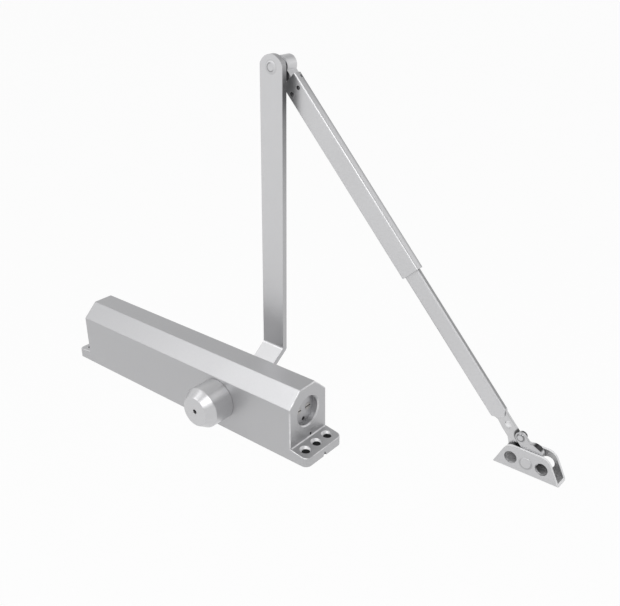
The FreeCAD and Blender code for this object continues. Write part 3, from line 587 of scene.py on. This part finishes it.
def arm_finish():
    """Paint of the arms, made once, and its rubbed edge with painted highlights."""
    if "silver_arm_paint" not in bpy.data.materials:
        finish = finishes()
        bar_paint("silver_arm_paint", finish.arm_paint)
        rubbed_highlight_paint("silver_arm_edge", finish.arm_paint, finish.rubbed_highlight)
    return bpy.data.materials["silver_arm_paint"], bpy.data.materials["silver_arm_edge"]


def plated_finish():
    """Satin plating of washers and screws, made once, and its rubbed edge with painted highlights."""
    if "satin_plating" not in bpy.data.materials:
        finish = finishes()
        plated_steel("satin_plating", finish.plated)
        rubbed_highlight_paint("satin_plating_edge", finish.plated, finish.rubbed_highlight)
    return bpy.data.materials["satin_plating"], bpy.data.materials["satin_plating_edge"]


# Stage and pieces

class CLOSER_OT_stage(Operator):
    """Pale floor, soft lamps and the photograph's camera"""

    bl_idname = "closer.stage"
    bl_label = "Stage"

    def execute(self, context):
        stage = context.scene.closer_stage
        self.make_floor(stage)
        self.make_sky(stage)
        self.make_lamps(stage)
        self.make_camera(context.scene.closer_camera)
        context.scene.view_settings.view_transform = "Standard"
        return {"FINISHED"}

    def make_floor(self, stage):
        """Round floor whose rim sweeps up into a backdrop."""
        deselect_all()
        radius = stage.floor_size / 2
        bpy.ops.mesh.primitive_circle_add(vertices=96, radius=radius, fill_type="NGON",
                                          location=(0, 0, -stage.floor_drop))
        floor = bpy.context.active_object
        floor.name = "floor"
        self.sweep_rim(radius, stage.floor_sweep)
        material, tree, shader, place = start_material("pale_floor")
        speck = noise_field(tree, place, scale=3.0, detail=2.0)
        pale = colour_from(tree, speck, stage.floor_colour, spread=0.01)
        tree.links.new(pale, shader.inputs["Base Color"])
        shader.inputs["Roughness"].default_value = 0.9
        glow = tree.nodes.new("ShaderNodeEmission")
        glow.inputs["Strength"].default_value = 1.0
        mix = tree.nodes.new("ShaderNodeMixShader")
        tree.links.new(self.seen_share(tree, stage.floor_glow), mix.inputs["Fac"])
        tree.links.new(shader.outputs["BSDF"], mix.inputs[1])
        tree.links.new(glow.outputs["Emission"], mix.inputs[2])
        tree.links.new(mix.outputs["Shader"], tree.nodes["Material Output"].inputs["Surface"])
        dress(floor, material)

    def sweep_rim(self, radius, rise):
        """Extrude the floor's rim outwards and up along a quarter circle."""
        steps = 6
        bpy.ops.object.mode_set(mode="EDIT")
        bpy.ops.mesh.select_mode(type="EDGE")
        bpy.ops.mesh.select_all(action="SELECT")
        bpy.ops.mesh.region_to_loop()
        height = 0.0
        reach = radius
        for step in range(1, steps + 1):
            turn = math.radians(90) * step / steps
            next_height = rise * (1 - math.cos(turn))
            next_reach = radius + rise * math.sin(turn)
            climb = (0, 0, next_height - height)
            bpy.ops.mesh.extrude_region_move(TRANSFORM_OT_translate={"value": climb})
            spread = next_reach / reach
            bpy.ops.transform.resize(value=(spread, spread, 1), center_override=(0, 0, 0))
            height = next_height
            reach = next_reach
        bpy.ops.object.mode_set(mode="OBJECT")
        bpy.ops.object.shade_smooth_by_angle(angle=SMOOTH_BELOW)

    def seen_share(self, tree, share):
        """Share of plain white for rays of sight and reflection, with none for diffuse light."""
        path = tree.nodes.new("ShaderNodeLightPath")
        seen = path.outputs["Is Camera Ray"]
        for ray in ("Is Glossy Ray", "Is Transmission Ray"):
            either = tree.nodes.new("ShaderNodeMath")
            either.operation = "MAXIMUM"
            tree.links.new(seen, either.inputs[0])
            tree.links.new(path.outputs[ray], either.inputs[1])
            seen = either.outputs["Value"]
        scaled = tree.nodes.new("ShaderNodeMath")
        scaled.operation = "MULTIPLY"
        scaled.inputs[1].default_value = share
        tree.links.new(seen, scaled.inputs[0])
        return scaled.outputs["Value"]

    def make_sky(self, stage):
        """White surroundings, brighter on one side."""
        world = bpy.data.worlds.new("studio")
        world.use_nodes = True
        bpy.context.scene.world = world
        tree = world.node_tree
        sky = tree.nodes["Background"]
        sky.inputs["Color"].default_value = (1, 1, 1, 1)
        way = tree.nodes.new("ShaderNodeTexCoord")
        side = tree.nodes.new("ShaderNodeVectorMath")
        side.operation = "DOT_PRODUCT"
        side.inputs[1].default_value = stage.sky_way
        tree.links.new(way.outputs["Generated"], side.inputs[0])
        fade = tree.nodes.new("ShaderNodeMapRange")
        fade.inputs["From Min"].default_value = -1.0
        fade.inputs["From Max"].default_value = 1.0
        fade.inputs["To Min"].default_value = stage.sky_back
        fade.inputs["To Max"].default_value = stage.sky_front
        tree.links.new(side.outputs["Value"], fade.inputs["Value"])
        tree.links.new(fade.outputs["Result"], sky.inputs["Strength"])

    def make_lamps(self, stage):
        """Three square lamps that face the middle of the closer."""
        middle = Vector((0.08, 0.0, 0.12))
        lamps = (
            ("key_lamp", stage.key_place, stage.key_power, stage.key_size),
            ("edge_lamp", stage.edge_place, stage.edge_power, stage.edge_size),
            ("rim_lamp", stage.rim_place, stage.rim_power, stage.rim_size),
        )
        for name, place, power, size in lamps:
            bpy.ops.object.light_add(type="AREA", location=place)
            lamp = bpy.context.active_object
            lamp.name = name
            lamp.data.energy = power
            lamp.data.size = size
            lamp.rotation_euler = (Vector(place) - middle).to_track_quat("Z", "Y").to_euler()

    def make_camera(self, view):
        """Camera at the photograph's place, turned to its view and then rolled."""
        bpy.ops.object.camera_add(location=view.place)
        camera = bpy.context.active_object
        camera.name = "photo_camera"
        camera.data.sensor_width = 36.0
        camera.data.lens = view.lens
        camera.data.clip_start = 0.01
        camera.data.clip_end = 50.0
        right = Vector((math.cos(view.azimuth), math.sin(view.azimuth), 0))
        level = Vector((math.sin(view.azimuth), -math.cos(view.azimuth), 0))
        back = level * math.cos(view.elevation) + Vector((0, 0, math.sin(view.elevation)))
        up = back.cross(right)
        turned_right = right * math.cos(view.roll) + up * math.sin(view.roll)
        turned_up = up * math.cos(view.roll) - right * math.sin(view.roll)
        camera.matrix_world = Matrix((
            (turned_right.x, turned_up.x, back.x, view.place[0]),
            (turned_right.y, turned_up.y, back.y, view.place[1]),
            (turned_right.z, turned_up.z, back.z, view.place[2]),
            (0, 0, 0, 1),
        ))
        bpy.context.scene.camera = camera


class CLOSER_OT_casting(Operator):
    """Painted cast body with painted shade in its holes, notches, marks and recesses, and painted highlights
    on its end rims
    """

    bl_idname = "closer.casting"
    bl_label = "Cast body"

    def execute(self, context):
        finish = finishes()
        paint = silver_paint("silver_casting_paint", finish.paint, grain=0.05, ripple=0.25)
        # Lighter edge finish, also painted highlights on the end rims.
        edge = rubbed_highlight_paint("silver_casting_edge", finish.paint, finish.rubbed_highlight)
        # Near black in the flange holes, painted shade.
        bore = shaded_bore("bare_hole_wall", finish.bore_shade)
        # Dark paint on the recess walls, painted shade.
        inside = silver_paint("recess_paint", finish.inside, grain=0.1, ripple=0.25)
        # Bright metal on the countersunk mouths, also a painted highlight.
        mouth = machined_metal("bare_hole_mouth", finish.rubbed_highlight, roughness=0.55)
        body = finish_nodes(["closer_body"], finish.casting_edge, paint, edge, bore, inside, mouth)[0]
        self.shade_recesses(body)
        self.light_corners(body)
        self.shade_holes(body)
        self.shade_notches(body)
        self.shade_marks(body)
        return {"FINISHED"}

    def end_wall(self):
        """Distance of each end wall from the middle of the body."""
        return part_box("closer_body")[1].x - FLANGE_REACH

    def screw_holes(self):
        """Axis and radius of each flange hole, from the record's screw patterns."""
        holes = []
        for mount in FRAME["record"]["mounts"]:
            if mount["name"] in ("corner_screws", "centre_screws"):
                dims = mount["dims"]
                along = dims["spacing_x_mm"] * MM / 2
                across = dims.get("spacing_y_mm", 0) * MM / 2
                for x in (-along, along):
                    for y in (-across, across):
                        holes.append((x, y, dims["hole_r_mm"] * MM))
        return holes

    def shade_holes(self, body):
        """Drilled walls darkened as painted shade, and countersunk mouths of bright metal that also serve as
        painted highlights.
        """
        slack = 0.1 * MM
        mouth = 1.6 * MM
        level = 0.95
        holes = self.screw_holes()

        def beside_hole(centre, reach):
            return any(math.hypot(centre.x - x, centre.y - y) < radius + reach for x, y, radius in holes)

        def in_mouth(centre, normal):
            return HARDLY < normal.z < level and beside_hole(centre, mouth)

        def in_bore(centre, normal):
            return abs(normal.z) < HARDLY and beside_hole(centre, slack)

        turn_faces_to(body, MOUTH_SLOT, in_mouth)
        turn_faces_to(body, BORE_SLOT, in_bore)

    def shade_marks(self, body):
        """The small drilled mark at the foot of each end wall, darkened inside as painted shade."""
        wall = self.end_wall()
        side = 2.5 * MM
        height = 12.1 * MM
        radius = 1.3 * MM
        depth = 3.2 * MM
        skin = 0.02 * MM

        def in_mark(centre, normal):
            deep = wall - depth < abs(centre.x) < wall - skin
            return deep and math.hypot(centre.y - side, centre.z - height) < radius

        turn_faces_to(body, BORE_SLOT, in_mark)

    def shade_notches(self, body):
        """The small notch at the middle of each flange's tip, darkened inside as painted shade."""
        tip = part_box("closer_body")[1].x
        depth = 1.6 * MM
        half_width = 1.8 * MM
        height = 3.4 * MM
        skin = 0.02 * MM

        def in_notch(centre, normal):
            deep = tip - depth < abs(centre.x) < tip - skin
            return deep and abs(centre.y) < half_width and centre.z < height

        turn_faces_to(body, BORE_SLOT, in_notch)

    def shade_recesses(self, body):
        """Walls of the plug recesses, darkened as painted shade."""
        wall = self.end_wall()
        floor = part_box("valve_end_plug")[1].x - MM
        axis_height = node_middle("valve_end_plug").z
        reach = 17 * MM
        sloped = 0.2

        def in_recess(centre, normal):
            deep = floor < abs(centre.x) < wall
            return deep and abs(normal.x) < sloped and math.hypot(centre.y, centre.z - axis_height) < reach

        turn_faces_to(body, INSIDE_SLOT, in_recess)

    def light_corners(self, body):
        """Rounded rims and corners at each end, given the lighter edge finish as painted highlights."""
        wall = self.end_wall()
        rounding = 1.5 * MM
        least_turn = 0.25
        most_turn = 0.95
        upwards = 0.2

        def rounded(centre, normal):
            open_to_wear = normal.z > upwards or centre.z > FLANGE_ROOT
            turned = least_turn < abs(normal.x) < most_turn and open_to_wear
            sloped = abs(centre.x) > wall and HARDLY < normal.z < SQUARE_ON
            return abs(centre.x) > wall - rounding and (turned or sloped)

        turn_faces_to(body, EDGE_SLOT, rounded)


class CLOSER_OT_cover(Operator):
    """Painted cover over the unused end of the spindle"""

    bl_idname = "closer.cover"
    bl_label = "Spindle cover"

    def execute(self, context):
        finish = finishes()
        paint = silver_paint("silver_cover_paint", finish.cover_paint, grain=0.05, ripple=0.2, roughness=0.30)
        edge = rubbed_highlight_paint("silver_cover_edge", finish.cover_paint, finish.rubbed_highlight)
        finish_nodes(["spindle_cover"], finish.casting_edge, paint, edge)
        return {"FINISHED"}


class CLOSER_OT_arm(Operator):
    """Painted cranked arm, with painted shade about its rivet and on its narrow side near the elbow"""

    bl_idname = "closer.arm"
    bl_label = "Main arm"

    def execute(self, context):
        finish = finishes()
        paint = bar_paint("silver_main_arm_paint", finish.arm_paint)
        # Painted shade in a thin ring round the rivet.
        add_painted_shade(paint, share_about(paint, ELBOW, full=5.0 * MM, none=5.8 * MM, strength=0.12))
        # Narrow side darkened towards the elbow as painted shade.
        side = bar_paint("silver_arm_side_paint", finish.arm_side_shade)
        side_shade = share_along(side, ALONG_Z, full=ELBOW.z, none=ELBOW.z - 130 * MM, strength=0.62)
        fade = 12 * MM
        below_end = share_along(side, ALONG_Z, full=ELBOW.z - fade, none=ELBOW.z + fade, strength=1.0)
        add_painted_shade(side, side_shade, below_end)
        arm = finish_nodes(["main_arm"], finish.bar_edge, paint, arm_finish()[1], side)[0]
        turn_faces_to(arm, SIDE_SLOT, self.on_narrow_side)
        return {"FINISHED"}

    def on_narrow_side(self, centre, normal):
        """Whether a face lies on the bar's narrow sides or round its end at the rivet."""
        straight = 0.95
        at_end = centre.z > ELBOW.z - MM
        return abs(normal.y) < HARDLY and (abs(normal.x) > straight or at_end)


class CLOSER_OT_elbow(Operator):
    """Painted link and rivet of the elbow, with its bush darkened below the pivot as painted shade"""

    bl_idname = "closer.elbow"
    bl_label = "Elbow"

    def execute(self, context):
        finish = finishes()
        self.make_link(finish)
        self.make_rivet(finish)
        bush = plated_steel("greasy_bush_steel", finish.plated)
        # Bush darkened below the pivot as painted shade.
        add_painted_shade(bush, self.low_share(bush, strength=0.97))
        finish_nodes(["elbow_bush"], finish.turned_edge, bush, bush)
        return {"FINISHED"}

    def low_share(self, material, strength):
        """Share that fades out upwards past the pivot."""
        return share_along(material, ALONG_Z, full=ELBOW.z - 2 * MM, none=ELBOW.z + 5 * MM, strength=strength)

    def make_link(self, finish):
        """Link whose front carries painted shade behind the arm and along its shank."""
        paint, edge = arm_finish()
        shaded = bar_paint("greasy_link_paint", finish.arm_paint)
        reach = ELBOW.x + 7.5 * MM
        behind_arm = share_along(shaded, ALONG_X, full=reach, none=reach + 2.5 * MM, strength=0.95)
        add_painted_shade(shaded, behind_arm, self.low_share(shaded, strength=1.0))
        shank = ELBOW.dot(FOREARM_WAY) + 13 * MM
        add_painted_shade(shaded, share_along(shaded, FOREARM_WAY, full=shank + MM, none=shank, strength=0.95))
        link = finish_nodes(["elbow_link"], finish.turned_edge, paint, edge, shaded)[0]
        turn_faces_to(link, SHADE_SLOT, lambda centre, normal: normal.y < -SQUARE_ON)

    def make_rivet(self, finish):
        """Dull painted rivet with painted shade in half of the ring round its middle."""
        dull = bar_paint("dull_rivet_paint", finish.arm_paint, roughness=0.60)
        ring = share_about(dull, ELBOW, full=0.2 * MM, none=0.7 * MM, strength=0.5, radius=3.1 * MM)
        way = Vector((1, 0, 0.5))
        middle = ELBOW.dot(way)
        left_side = share_along(dull, way, full=middle, none=middle + 3 * MM, strength=1.0)
        add_painted_shade(dull, ring, left_side)
        finish_nodes(["elbow_rivet"], finish.turned_edge, dull, dull)


class CLOSER_OT_forearm(Operator):
    """Painted sleeve and rod of the forearm, with the plated clamp screw"""

    bl_idname = "closer.forearm"
    bl_label = "Forearm"

    def execute(self, context):
        finish = finishes()
        paint, edge = arm_finish()
        self.make_sleeve(finish, paint, edge)
        self.make_rod(finish, paint, edge)
        finish_nodes(["clamp_screw"], finish.turned_edge, *plated_finish())
        return {"FINISHED"}

    def make_sleeve(self, finish, paint, edge):
        """Sleeve with painted shade on its face at the elbow, on its upper side towards the back and the
        elbow, and in its punched stakes.
        """
        low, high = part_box("forearm_sleeve")
        shaded = bar_paint("greasy_sleeve_paint", finish.arm_paint)
        reach = ELBOW.x + 9.5 * MM
        # Front face darkened near the elbow as painted shade cast by the arm.
        add_painted_shade(shaded, share_along(shaded, ALONG_X, full=reach, none=reach + 13 * MM, strength=0.72))
        # Stake walls near black as painted shade.
        bore_shade = shaded_bore("bare_stake_wall", finish.shade_black)
        upper = bar_paint("sleeve_upper_paint", finish.arm_paint)
        # Upper side darkened towards the back and towards the elbow as painted shade.
        add_painted_shade(upper, share_along(upper, ALONG_Y, full=high.y, none=high.y - 4 * MM, strength=0.5))
        start = ELBOW.dot(FOREARM_WAY) + 10 * MM
        add_painted_shade(upper, share_along(upper, FOREARM_WAY, full=start, none=start + 50 * MM, strength=0.25))
        sleeve = finish_nodes(["forearm_sleeve"], finish.bar_edge, paint, edge, shaded, bore_shade, upper)[0]
        self.shade_sleeve(sleeve, front=low.y)

    def shade_sleeve(self, sleeve, front):
        """Turn the sleeve's upper side, its front and the walls of its stakes to their own finishes, each
        carrying painted shade.
        """
        straight_up = 0.95
        backwards = 0.1
        skin = 0.1 * MM
        depth = 3.4 * MM
        radius = 1.8 * MM
        along = 22.3 * MM
        across = 4.0 * MM
        stakes = [ELBOW + FOREARM_WAY * along + FOREARM_UP * (side * across) for side in (-1, 1)]

        def on_upper_side(centre, normal):
            lift = normal.dot(FOREARM_UP)
            return lift > straight_up or (lift > HARDLY and normal.y > backwards)

        def on_front(centre, normal):
            return normal.y < -SQUARE_ON and centre.y < front + skin

        def in_stake(centre, normal):
            deep = front + skin < centre.y < front + depth
            return deep and any(flat_distance(centre, stake) < radius for stake in stakes)

        turn_faces_to(sleeve, UPPER_SLOT, on_upper_side)
        turn_faces_to(sleeve, SHADE_SLOT, on_front)
        turn_faces_to(sleeve, INSIDE_SLOT, in_stake)

    def make_rod(self, finish, paint, edge):
        """Rod with dull rounded sides, darker along their crowns as painted shade."""
        crown_shade = silver_paint("scuffed_rod_paint", finish.rod_crown_shade, grain=0.08, ripple=0.12,
                               roughness=0.60)
        dull = bar_paint("dull_rod_paint", finish.arm_paint, roughness=0.65)
        rounded = 0.2
        crown = 0.85
        rod = finish_nodes(["forearm_rod"], finish.bar_edge, paint, edge, crown_shade, dull)[0]
        turn_faces_to(rod, DULL_SLOT, lambda centre, normal: abs(normal.dot(FOREARM_UP)) > rounded)
        turn_faces_to(rod, SIDE_SLOT, lambda centre, normal: abs(normal.dot(FOREARM_UP)) > crown)


class CLOSER_OT_rod_end(Operator):
    """Plated tongue and lug at the rod's end, with their rivet"""

    bl_idname = "closer.rod_end"
    bl_label = "Rod end"

    def execute(self, context):
        finish = finishes()
        lug_rivet = self.on_forearm(along=-17.4 * MM, up=6.4 * MM)
        self.make_tongue(finish, lug_rivet)
        self.make_lug(finish, lug_rivet)
        rivet = plated_steel("bright_rivet_plating", finish.plated)
        # Dark ring on the rivet head, painted shade.
        ring = share_about(rivet, lug_rivet, full=0.2 * MM, none=0.8 * MM, strength=0.6, radius=2.6 * MM)
        add_painted_shade(rivet, ring)
        finish_nodes(["lug_rivet"], finish.turned_edge, rivet, rivet)
        return {"FINISHED"}

    def on_forearm(self, along, up):
        """Place given along the forearm from the shoe pivot and across it."""
        return SHOE_PIVOT + FOREARM_WAY * along + FOREARM_UP * up

    def make_tongue(self, finish, lug_rivet):
        """Bright tongue drawn out into the shoe, with painted shade at its foot and round the lug's end, and
        a painted highlight on its dimple.
        """
        plating = plated_steel("tongue_plating", finish.tongue)
        # Painted shadow round the lug's end.
        by_rivet = share_about(plating, lug_rivet, full=5.2 * MM, none=6.6 * MM, strength=0.9)
        add_painted_shade(plating, by_rivet)
        # Painted shade on the foot inside the shoe.
        by_pin = share_about(plating, SHOE_PIVOT, full=13 * MM, none=16 * MM, strength=0.95)
        add_painted_shade(plating, by_pin)
        # Darkened all round the dimple, leaving a painted highlight on it.
        dimple = self.on_forearm(along=-28.6 * MM, up=2.0 * MM)
        outside_dimple = share_about(plating, dimple, full=3.4 * MM, none=0.4 * MM, strength=0.28)
        add_painted_shade(plating, outside_dimple)
        tongue = clean_copy("rod_tongue")
        lower_corner = self.on_forearm(along=-15.8 * MM, up=-8.7 * MM)
        upper_corner = self.on_forearm(along=-12.0 * MM, up=1.8 * MM)
        reach = 3 * MM
        pull_corners(tongue, [lower_corner, upper_corner], FOREARM_WAY * reach)
        round_edges(tongue, finish.turned_edge, sharpness=50)
        dress(tongue, plating, plating)
        place_piece(tongue, "rod_tongue")

    def make_lug(self, finish, lug_rivet):
        """Plated lug with a painted shadow on the far rim of its eye and painted shade on its edge beside the
        pin.
        """
        plating = plated_steel("lug_plating", finish.plated)
        # Weak painted shade round the rivet.
        add_painted_shade(plating, share_about(plating, lug_rivet, full=3.3 * MM, none=4.1 * MM, strength=0.15))
        # Painted shadow along the eye's far rim beside the pin.
        rim_way = Vector((0.435, 0, 0.900))
        rim = SHOE_PIVOT.dot(rim_way) + 14.7 * MM
        far_rim = share_along(plating, rim_way, full=rim + 0.5 * MM, none=rim - 0.3 * MM, strength=0.93)
        pin = SHOE_PIVOT.x
        by_pin = share_along(plating, ALONG_X, full=pin + MM, none=pin - 2 * MM, strength=1.0)
        add_painted_shade(plating, far_rim, by_pin)
        # Near-black upper edge beside the pin, painted shade.
        shaded = shaded_bore("greasy_lug_side", finish.shade_black)
        lug = finish_nodes(["end_lug"], finish.turned_edge, plating, plated_finish()[1], shaded)[0]
        reach = 12 * MM

        def on_upper_edge(centre, normal):
            upwards = normal.x + normal.z > HARDLY and abs(normal.y) < HARDLY
            return upwards and flat_distance(centre, SHOE_PIVOT) < reach

        turn_faces_to(lug, SHADE_SLOT, on_upper_edge)


class CLOSER_OT_shoe(Operator):
    """Painted shoe and its pin, with the plated spacer"""

    bl_idname = "closer.shoe"
    bl_label = "Shoe"

    def execute(self, context):
        finish = finishes()
        # White edge paint, painted highlights on the rims.
        edge = rubbed_highlight_paint("shoe_edge_paint", finish.rubbed_highlight, finish.rubbed_highlight, shine=0.0)
        outside = bar_paint("shoe_paint", finish.cover_paint)
        # Painted shade in the lower half of a ring round the pin.
        self.shade_round_pin(outside, full=5.0 * MM, none=5.7 * MM, strength=0.15)
        inside = silver_paint("shoe_inside_paint", finish.shoe_inside, grain=0.1, ripple=0.2)
        low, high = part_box("shoe_bracket")
        # Inside darkened towards the bottom as painted shade.
        add_painted_shade(inside, share_along(inside, ALONG_Z, full=low.z + 3 * MM, none=high.z, strength=0.32))
        shoe = finish_nodes(["shoe_bracket"], finish.sheet_edge, outside, edge, outside, inside)[0]
        self.light_rims(shoe)
        self.shade_inside(shoe, low, high)
        head = bar_paint("pin_head_paint", finish.cover_paint)
        # Painted shade round the lower rim of the pin head.
        self.shade_round_pin(head, full=0.1 * MM, none=0.6 * MM, strength=0.35, radius=4.1 * MM)
        finish_nodes(["shoe_pin"], finish.turned_edge, head, head)
        finish_nodes(["pin_washer"], finish.turned_edge, *plated_finish())
        return {"FINISHED"}

    def shade_round_pin(self, paint, **ring):
        """Painted shade in the lower half of a ring round the pin."""
        middle = SHOE_PIVOT.z
        low_side = share_along(paint, ALONG_Z, full=middle, none=middle + 3 * MM, strength=1.0)
        add_painted_shade(paint, share_about(paint, SHOE_PIVOT, **ring), low_side)

    def light_rims(self, shoe):
        """Cut edges of the folded sheet, apart from the walls of its screw holes, given white paint as
        painted highlights.
        """
        mounts = {mount["name"]: mount for mount in FRAME["record"]["mounts"]}
        dims = mounts["shoe_screws"]["dims"]
        half_spacing = dims["spacing_x_mm"] * MM / 2
        slack = 0.2 * MM
        hole = dims["hole_r_mm"] * MM + slack
        upwards = 0.2

        def on_rim(centre, normal):
            beside = abs(centre.x - SHOE_PIVOT.x) - half_spacing
            outside_hole = math.hypot(beside, centre.z - SHOE_PIVOT.z) > hole
            return abs(normal.y) < HARDLY and normal.z > upwards and outside_hole

        turn_faces_to(shoe, EDGE_SLOT, on_rim)

    def shade_inside(self, shoe, low, high):
        """Inner faces of the folded channel, whose paint darkens towards the bottom as painted shade."""
        skin = 1.5 * MM

        def within(centre, normal):
            enclosed = low.y + skin < centre.y < high.y - skin and centre.z > low.z + skin
            return enclosed and (abs(normal.y) > SQUARE_ON or normal.z > SQUARE_ON)

        turn_faces_to(shoe, INSIDE_SLOT, within)


class CLOSER_OT_arm_fixing(Operator):
    """Plated washer and screw that hold the arm on the spindle"""

    bl_idname = "closer.arm_fixing"
    bl_label = "Arm screw"

    def execute(self, context):
        finish = finishes()
        finish_nodes(["arm_washer", "arm_screw"], finish.turned_edge, *plated_finish())
        return {"FINISHED"}


class CLOSER_OT_plugs(Operator):
    """Turned end plugs of the cylinder"""

    bl_idname = "closer.plugs"
    bl_label = "End plugs"

    def execute(self, context):
        finish = finishes()
        centre = (0, 0, node_middle("valve_end_plug").z)
        steel = turned_steel("turned_plug_steel", finish.turned, centre, turn=(0, math.radians(90), 0))
        edge = rubbed_highlight_paint("turned_plug_edge", finish.turned, finish.plated)
        finish_nodes(["spring_end_plug", "valve_end_plug"], finish.turned_edge, steel, edge)
        return {"FINISHED"}


class CLOSER_OT_spindle(Operator):
    """Turned spindle and the two nuts round it"""

    bl_idname = "closer.spindle"
    bl_label = "Spindle and nuts"

    def execute(self, context):
        finish = finishes()
        middle = node_middle("rear_gland_nut")
        centre = (middle.x, 0, middle.z)
        steel = turned_steel("turned_nut_steel", finish.turned, centre, turn=(math.radians(90), 0, 0))
        edge = rubbed_highlight_paint("turned_nut_edge", finish.turned, finish.plated)
        nodes = ["front_gland_nut", "rear_gland_nut", "pinion_spindle"]
        finish_nodes(nodes, finish.turned_edge, steel, edge)
        return {"FINISHED"}


class CLOSER_OT_valves(Operator):
    """Slotted regulating valves"""

    bl_idname = "closer.valves"
    bl_label = "Valves"

    def execute(self, context):
        finish = finishes()
        steel = machined_metal("valve_steel_turned", finish.needle, roughness=0.32)
        edge = rubbed_highlight_paint("valve_steel_edge", finish.needle, finish.plated)
        finish_nodes(["closing_valve", "latching_valve"], finish.turned_edge, steel, edge)
        return {"FINISHED"}


class CLOSER_OT_mechanism(Operator):
    """Finishes of the pieces inside the body"""

    bl_idname = "closer.mechanism"
    bl_label = "Inside pieces"

    def execute(self, context):
        finish = finishes()
        groups = (
            (machined_metal("piston_iron_machined", finish.iron, roughness=0.42), ["rack_piston"]),
            (machined_metal("ground_steel", finish.turned, roughness=0.28),
             ["front_bearing", "rear_bearing", "check_ball", "check_retainer"]),
            (seal_rubber("black_rubber", finish.rubber),
             ["spring_end_seal", "valve_end_seal", "closing_valve_seal", "latching_valve_seal",
              "front_shaft_seal", "rear_shaft_seal", "piston_seal"]),
        )
        for material, nodes in groups:
            for node in nodes:
                dress(NODES[node], material)
        self.coil_spring(finish)
        return {"FINISHED"}

    def coil_spring(self, finish):
        """Return spring, finished and given a mesh of its own."""
        wire = machined_metal("oiled_wire", finish.wire, roughness=0.36)
        spring = finish_nodes(["return_spring"], finish.turned_edge, wire, wire)[0]
        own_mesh(spring)


# Panel and registration

class CLOSER_PT_panel(Panel):
    """Lists the closer's pieces"""

    bl_idname = "CLOSER_PT_panel"
    bl_label = "Door Closer"
    bl_space_type = "VIEW_3D"
    bl_region_type = "UI"
    bl_category = "Closer"

    def draw(self, context):
        for operator in OPERATORS:
            self.layout.operator(operator.bl_idname)


OPERATORS = (
    CLOSER_OT_stage,
    CLOSER_OT_casting,
    CLOSER_OT_cover,
    CLOSER_OT_arm,
    CLOSER_OT_elbow,
    CLOSER_OT_forearm,
    CLOSER_OT_rod_end,
    CLOSER_OT_shoe,
    CLOSER_OT_arm_fixing,
    CLOSER_OT_plugs,
    CLOSER_OT_spindle,
    CLOSER_OT_valves,
    CLOSER_OT_mechanism,
)
GROUPS = (CloserCamera, CloserStage, CloserFinish)
CLASSES = GROUPS + OPERATORS + (CLOSER_PT_panel,)


def register():
    for cls in CLASSES:
        bpy.utils.register_class(cls)
    bpy.types.Scene.closer_camera = PointerProperty(type=CloserCamera)
    bpy.types.Scene.closer_stage = PointerProperty(type=CloserStage)
    bpy.types.Scene.closer_finish = PointerProperty(type=CloserFinish)


def unregister():
    del bpy.types.Scene.closer_finish
    del bpy.types.Scene.closer_stage
    del bpy.types.Scene.closer_camera
    for cls in reversed(CLASSES):
        bpy.utils.unregister_class(cls)


def main():
    register()
    bpy.ops.closer.stage()
    bpy.ops.closer.casting()
    bpy.ops.closer.cover()
    bpy.ops.closer.arm()
    bpy.ops.closer.elbow()
    bpy.ops.closer.forearm()
    bpy.ops.closer.rod_end()
    bpy.ops.closer.shoe()
    bpy.ops.closer.arm_fixing()
    bpy.ops.closer.plugs()
    bpy.ops.closer.spindle()
    bpy.ops.closer.valves()
    bpy.ops.closer.mechanism()


if __name__ == "__main__":
    main()
